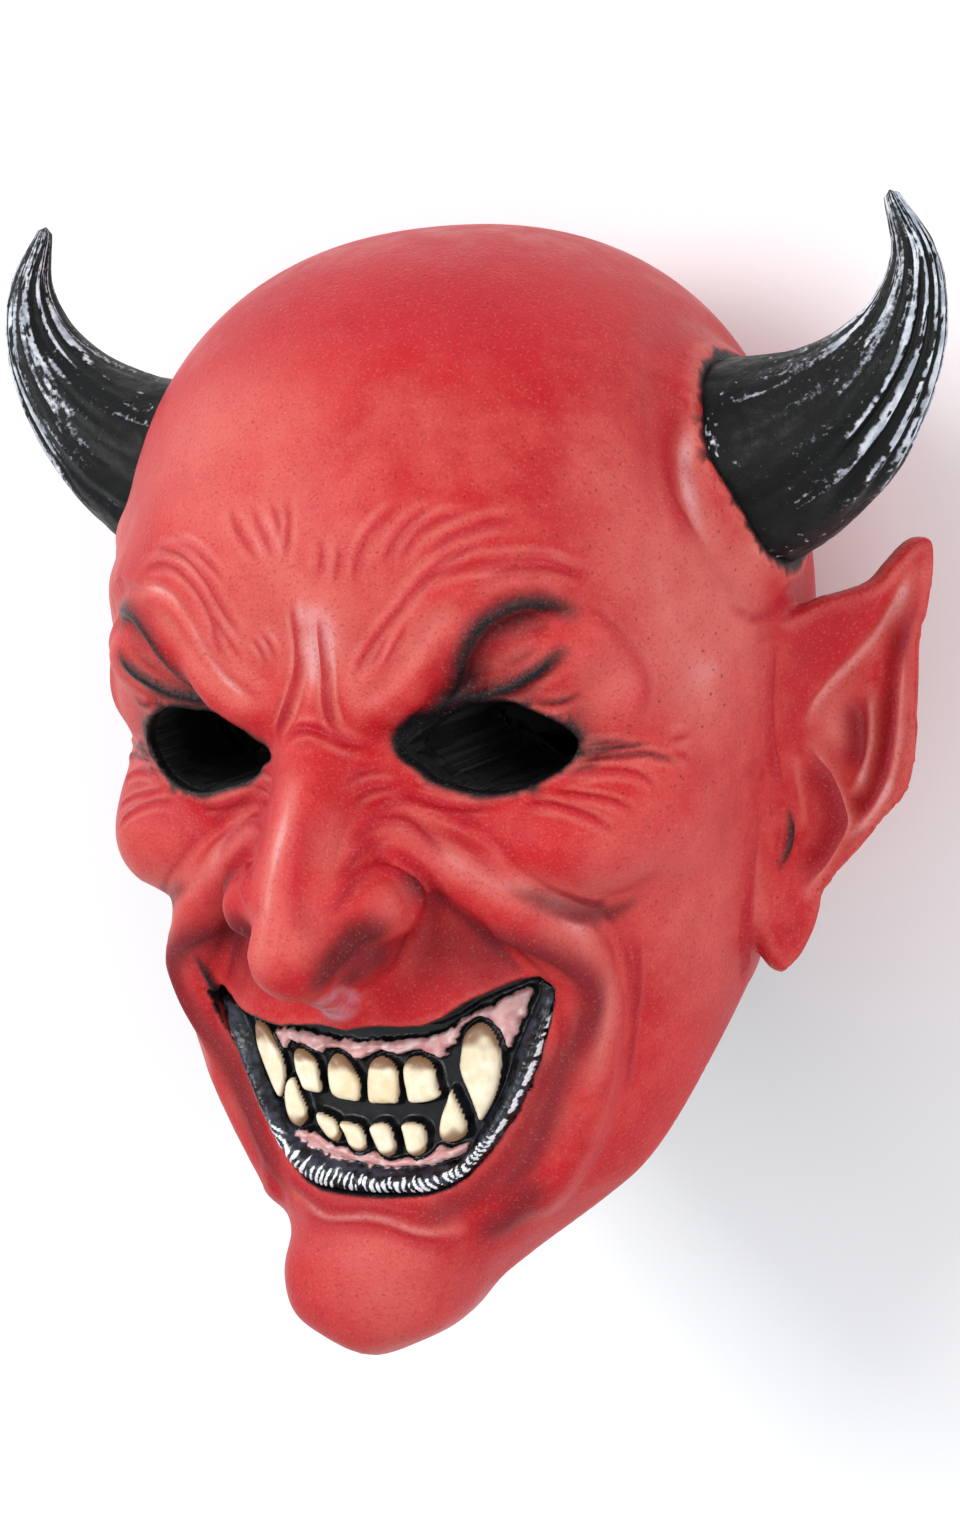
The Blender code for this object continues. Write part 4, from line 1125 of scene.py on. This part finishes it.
def latex():
    n = Nodes("painted_latex")
    crimson, pale, black = n.attribute("marks")
    maroon, speckle, oval_highlight = n.attribute("tones")
    inner, _, _ = n.attribute("inner")
    at = n.place()
    broad, middle, grain = n.noise(16, 3), n.noise(90, 4, 0.6), n.noise(1250, 2, 0.6)
    red = n.mix(n.span(broad, 0.36, 0.66), lin(180, 20, 30), lin(193, 34, 39))
    red = n.mix(n.math("MULTIPLY", n.span(middle, 0.4, 0.68), 0.30), red, lin(206, 60, 56))
    # pale paint with painted highlight: salmon on crests and lit planes, lavender-white where the sheen is strongest
    red = n.mix(n.math("MULTIPLY", n.math("ADD", pale, n.math("MULTIPLY", n.math("SUBTRACT", middle, 0.5), 0.5)), 0.9, True), red, n.mix(n.span(pale, 0.6, 1.0), lin(216, 118, 107), lin(226, 162, 160)))
    # painted shade: deeper crimson in creases and hollows, on the crown and at the back
    crease_shade = n.math("ADD", crimson, n.math("MULTIPLY", n.math("SUBTRACT", middle, 0.5), 0.35))
    red = n.mix(n.span(crease_shade, 0.08, 0.95, 0.0, 0.85), red, lin(172, 18, 36))
    # painted shade: the maroon mask darkens the red under the nose, cheeks and lip and along the folds
    deep_shade = n.math("ADD", maroon, n.math("MULTIPLY", n.math("SUBTRACT", grain, 0.5), 0.5))
    red = n.mix(n.span(deep_shade, 0.08, 1.0, 0.0, 0.9), red, lin(88, 24, 32))
    dust = n.math("MULTIPLY", n.span(grain, 0.55, 0.70), 0.20)
    red = n.mix(dust, red, lin(232, 128, 108))
    sand = n.math("MULTIPLY", n.span(n.noise(1000, 2, 0.7), 0.54, 0.68), 0.34)
    red = n.mix(sand, red, lin(132, 12, 24))
    dots = n.cells(330)
    chance = n.noise(210, 1, 0.5)
    spots = n.math("MULTIPLY", n.span(dots, 0.19, 0.10), n.math("MULTIPLY", n.span(n.math("ADD", chance, n.math("MULTIPLY", speckle, 0.16)), 0.60, 0.64), speckle))
    red = n.mix(n.math("MULTIPLY", spots, 0.85), red, lin(92, 18, 26))
    # painted highlight: the lavender-white oval under the nose
    red = n.mix(n.math("MULTIPLY", oval_highlight, n.span(middle, 0.32, 0.62, 0.15, 0.75)), red, lin(206, 150, 166))
    soot = n.math("ADD", black, n.math("MULTIPLY", n.math("SUBTRACT", n.noise(520, 3, 0.65), 0.5), n.math("MULTIPLY", black, 0.9)))
    soot = n.math("SUBTRACT", 1.0, n.math("POWER", n.math("SUBTRACT", 1.0, soot, True), 2.1))
    red = n.mix(soot, red, n.mix(n.span(grain, 0.58, 0.74, 0, 0.35), lin(20, 19, 21), lin(110, 112, 120)))
    # the hollow's inside painted near-black: painted shade for the dark seen through the eye holes and neck
    red = n.mix(inner, red, n.mix(broad, lin(22, 24, 23), lin(36, 37, 35)))
    n.feed(n.shader.inputs["Base Color"], red)
    rough = n.span(middle, 0.3, 0.7, 0.36, 0.52)
    rough = n.math("ADD", rough, n.math("MULTIPLY", maroon, 0.14))
    rough = n.math("SUBTRACT", rough, n.math("MULTIPLY", oval_highlight, 0.12))
    rough = n.math("ADD", rough, n.math("MULTIPLY", inner, 0.4), True)
    n.feed(n.shader.inputs["Roughness"], rough)
    n.shader.inputs["Specular IOR Level"].default_value = 0.2
    n.shader.inputs["Subsurface Weight"].default_value = 0.0
    pores = n.bump(n.math("SUBTRACT", grain, n.math("MULTIPLY", n.span(n.cells(420), 0.30, 0.08), 0.5)), 0.42, 0.0005)
    skin_bump = n.bump(middle, 0.30, 0.0011, pores)
    n.feed(n.shader.inputs["Normal"], skin_bump)
    return n.material


def horn_paint():
    n = Nodes("horn_black")
    silver_and_sheen, deep, _ = n.attribute("horn")
    broad, middle, grain = n.noise(30, 3), n.noise(160, 4, 0.6), n.noise(700, 3, 0.65)
    base = n.mix(n.span(broad, 0.35, 0.65), lin(7, 8, 8), lin(15, 17, 17))
    base = n.mix(n.math("MULTIPLY", n.span(grain, 0.64, 0.75), 0.35), base, lin(96, 100, 104))
    silver = n.mix(n.span(middle, 0.35, 0.65), lin(158, 166, 178), lin(222, 227, 234))
    # silver dry-brush with painted sheen on the sides the light catches
    brushed_and_sheen = n.span(n.math("ADD", silver_and_sheen, n.math("MULTIPLY", n.math("SUBTRACT", grain, 0.5), 1.0)), 0.18, 0.62, 0.0, 0.95)
    brushed_and_sheen = n.math("MULTIPLY", brushed_and_sheen, n.span(silver_and_sheen, 0.02, 0.12))
    colour = n.mix(brushed_and_sheen, base, silver)
    colour = n.mix(n.span(deep, 0.3, 0.9), colour, lin(6, 7, 7))
    n.feed(n.shader.inputs["Base Color"], colour)
    n.feed(n.shader.inputs["Roughness"], n.span(middle, 0.3, 0.7, 0.38, 0.6))
    n.shader.inputs["Specular IOR Level"].default_value = 0.2
    n.feed(n.shader.inputs["Normal"], n.bump(n.noise(380, 4, 0.65), 0.38, 0.0008))
    return n.material


def mouth_paint():
    n = Nodes("mouth_enamel")
    tooth, gum, crest = n.attribute("mouth")
    stain, gum_highlight, lip = n.attribute("mouth_stain_glint_lip")
    broad, middle, grain = n.noise(60, 3), n.noise(260, 4, 0.6), n.noise(900, 3, 0.65)
    black = n.mix(n.span(middle, 0.4, 0.7), lin(7, 8, 9), lin(20, 22, 28))
    blue = n.mix(n.math("MULTIPLY", n.span(middle, 0.45, 0.65), 0.6), black, lin(66, 74, 94))
    colour = n.mix(n.math("MULTIPLY", lip, 0.7), black, blue)
    white = n.mix(n.span(grain, 0.4, 0.6), lin(206, 214, 220), lin(243, 245, 246))
    # white on the lip: dry-brushed paint and painted highlight
    brushed_and_sheen = n.span(n.math("ADD", crest, n.math("MULTIPLY", n.math("SUBTRACT", grain, 0.5), 0.7)), 0.25, 0.6)
    colour = n.mix(n.math("MULTIPLY", brushed_and_sheen, n.span(crest, 0.03, 0.15)), colour, white)
    flesh = n.mix(n.span(middle, 0.35, 0.65), lin(196, 134, 132), lin(226, 176, 172))
    flesh = n.mix(n.span(broad, 0.52, 0.68, 0, 0.5), flesh, lin(128, 72, 76))
    flesh = n.mix(n.math("MULTIPLY", stain, n.span(middle, 0.35, 0.65, 0.45, 0.95)), flesh, lin(112, 62, 58))
    # painted highlight on the gums' edges
    flesh = n.mix(n.math("MULTIPLY", gum_highlight, 0.8), flesh, lin(246, 218, 214))
    colour = n.mix(n.span(n.math("ADD", gum, n.math("MULTIPLY", n.math("SUBTRACT", middle, 0.5), 1.3)), 0.36, 0.66), colour, flesh)
    ivory = n.mix(n.span(middle, 0.35, 0.68), lin(236, 220, 184), lin(248, 238, 212))
    ivory = n.mix(n.span(broad, 0.5, 0.7, 0, 0.4), ivory, lin(226, 190, 132))
    ivory = n.mix(n.span(n.math("ADD", stain, n.math("MULTIPLY", n.math("SUBTRACT", middle, 0.5), 0.5)), 0.12, 0.95, 0.0, 0.9), ivory, lin(132, 88, 52))
    colour = n.mix(n.span(tooth, 0.35, 0.65), colour, ivory)
    n.feed(n.shader.inputs["Base Color"], colour)
    n.feed(n.shader.inputs["Roughness"], n.span(middle, 0.3, 0.7, 0.24, 0.40))
    n.shader.inputs["Specular IOR Level"].default_value = 0.45
    n.feed(n.shader.inputs["Normal"], n.bump(n.noise(700, 3, 0.6), 0.25, 0.0005))
    return n.material


def studio_floor():
    n = Nodes("studio_floor")
    n.feed(n.shader.inputs["Base Color"], n.mix(n.noise(3, 3), lin(246, 246, 246), lin(250, 250, 250)))
    n.feed(n.shader.inputs["Roughness"], n.span(n.noise(40, 2), 0.3, 0.7, 0.85, 0.95))
    return n.material


devil.data.materials.clear()
devil.data.materials.append(latex())
black_paint = horn_paint()
for h in horns:
    h.data.materials.append(black_paint)
grin.data.materials.append(mouth_paint())

# ------------------------------------------------------------------ stage
bpy.ops.mesh.primitive_plane_add(size=6, location=(0, 0, 0))
floor = bpy.context.object
floor.name = "floor"
floor.data.materials.append(studio_floor())

camera = bpy.data.cameras.new("camera")
camera.sensor_fit, camera.sensor_width, camera.sensor_height = "VERTICAL", 22.5, 36
camera.lens = 36 * FOCAL_PX / FRAME_H
camera.clip_start, camera.clip_end = 0.05, 20
camera_at = bpy.data.objects.new("camera", camera)
bpy.context.scene.collection.objects.link(camera_at)
M = Matrix.Identity(4)
eye = part(C_EYE)
for i in range(3):
    M[i][0], M[i][1], M[i][2], M[i][3] = C_RIGHT[i], C_UP[i], C_BACK[i], eye[i]
camera_at.matrix_world = M
bpy.context.scene.camera = camera_at


def lamp(name, direction, distance, size, power, colour=(1, 1, 1)):
    light = bpy.data.lights.new(name, "AREA")
    light.shape, light.size, light.energy, light.color = "SQUARE", size, power, colour
    ob = bpy.data.objects.new(name, light)
    bpy.context.scene.collection.objects.link(ob)
    d = Vector(direction).normalized()
    ob.location = Vector((0, 0, 0.1)) + d * distance
    ob.rotation_euler = d.to_track_quat("Z", "Y").to_euler()


lamp("key", (-0.42, 0.42, 1.0), 1.6, 0.6, 11)
lamp("side", (-0.85, 0.60, 0.42), 1.5, 0.5, 4.5)
lamp("fill", (0.95, 0.10, 0.9), 1.8, 1.0, 12)
world = bpy.data.worlds.new("world")
world.use_nodes = True
world.node_tree.nodes["Background"].inputs[0].default_value = (0.93, 0.95, 1, 1)
world.node_tree.nodes["Background"].inputs[1].default_value = 0.7
bpy.context.scene.world = world
bpy.context.scene.view_settings.view_transform = "Standard"

for piece in [devil, grin] + horns:
    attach(piece, "root")
    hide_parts("devil_mask")
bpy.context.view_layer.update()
note("made")
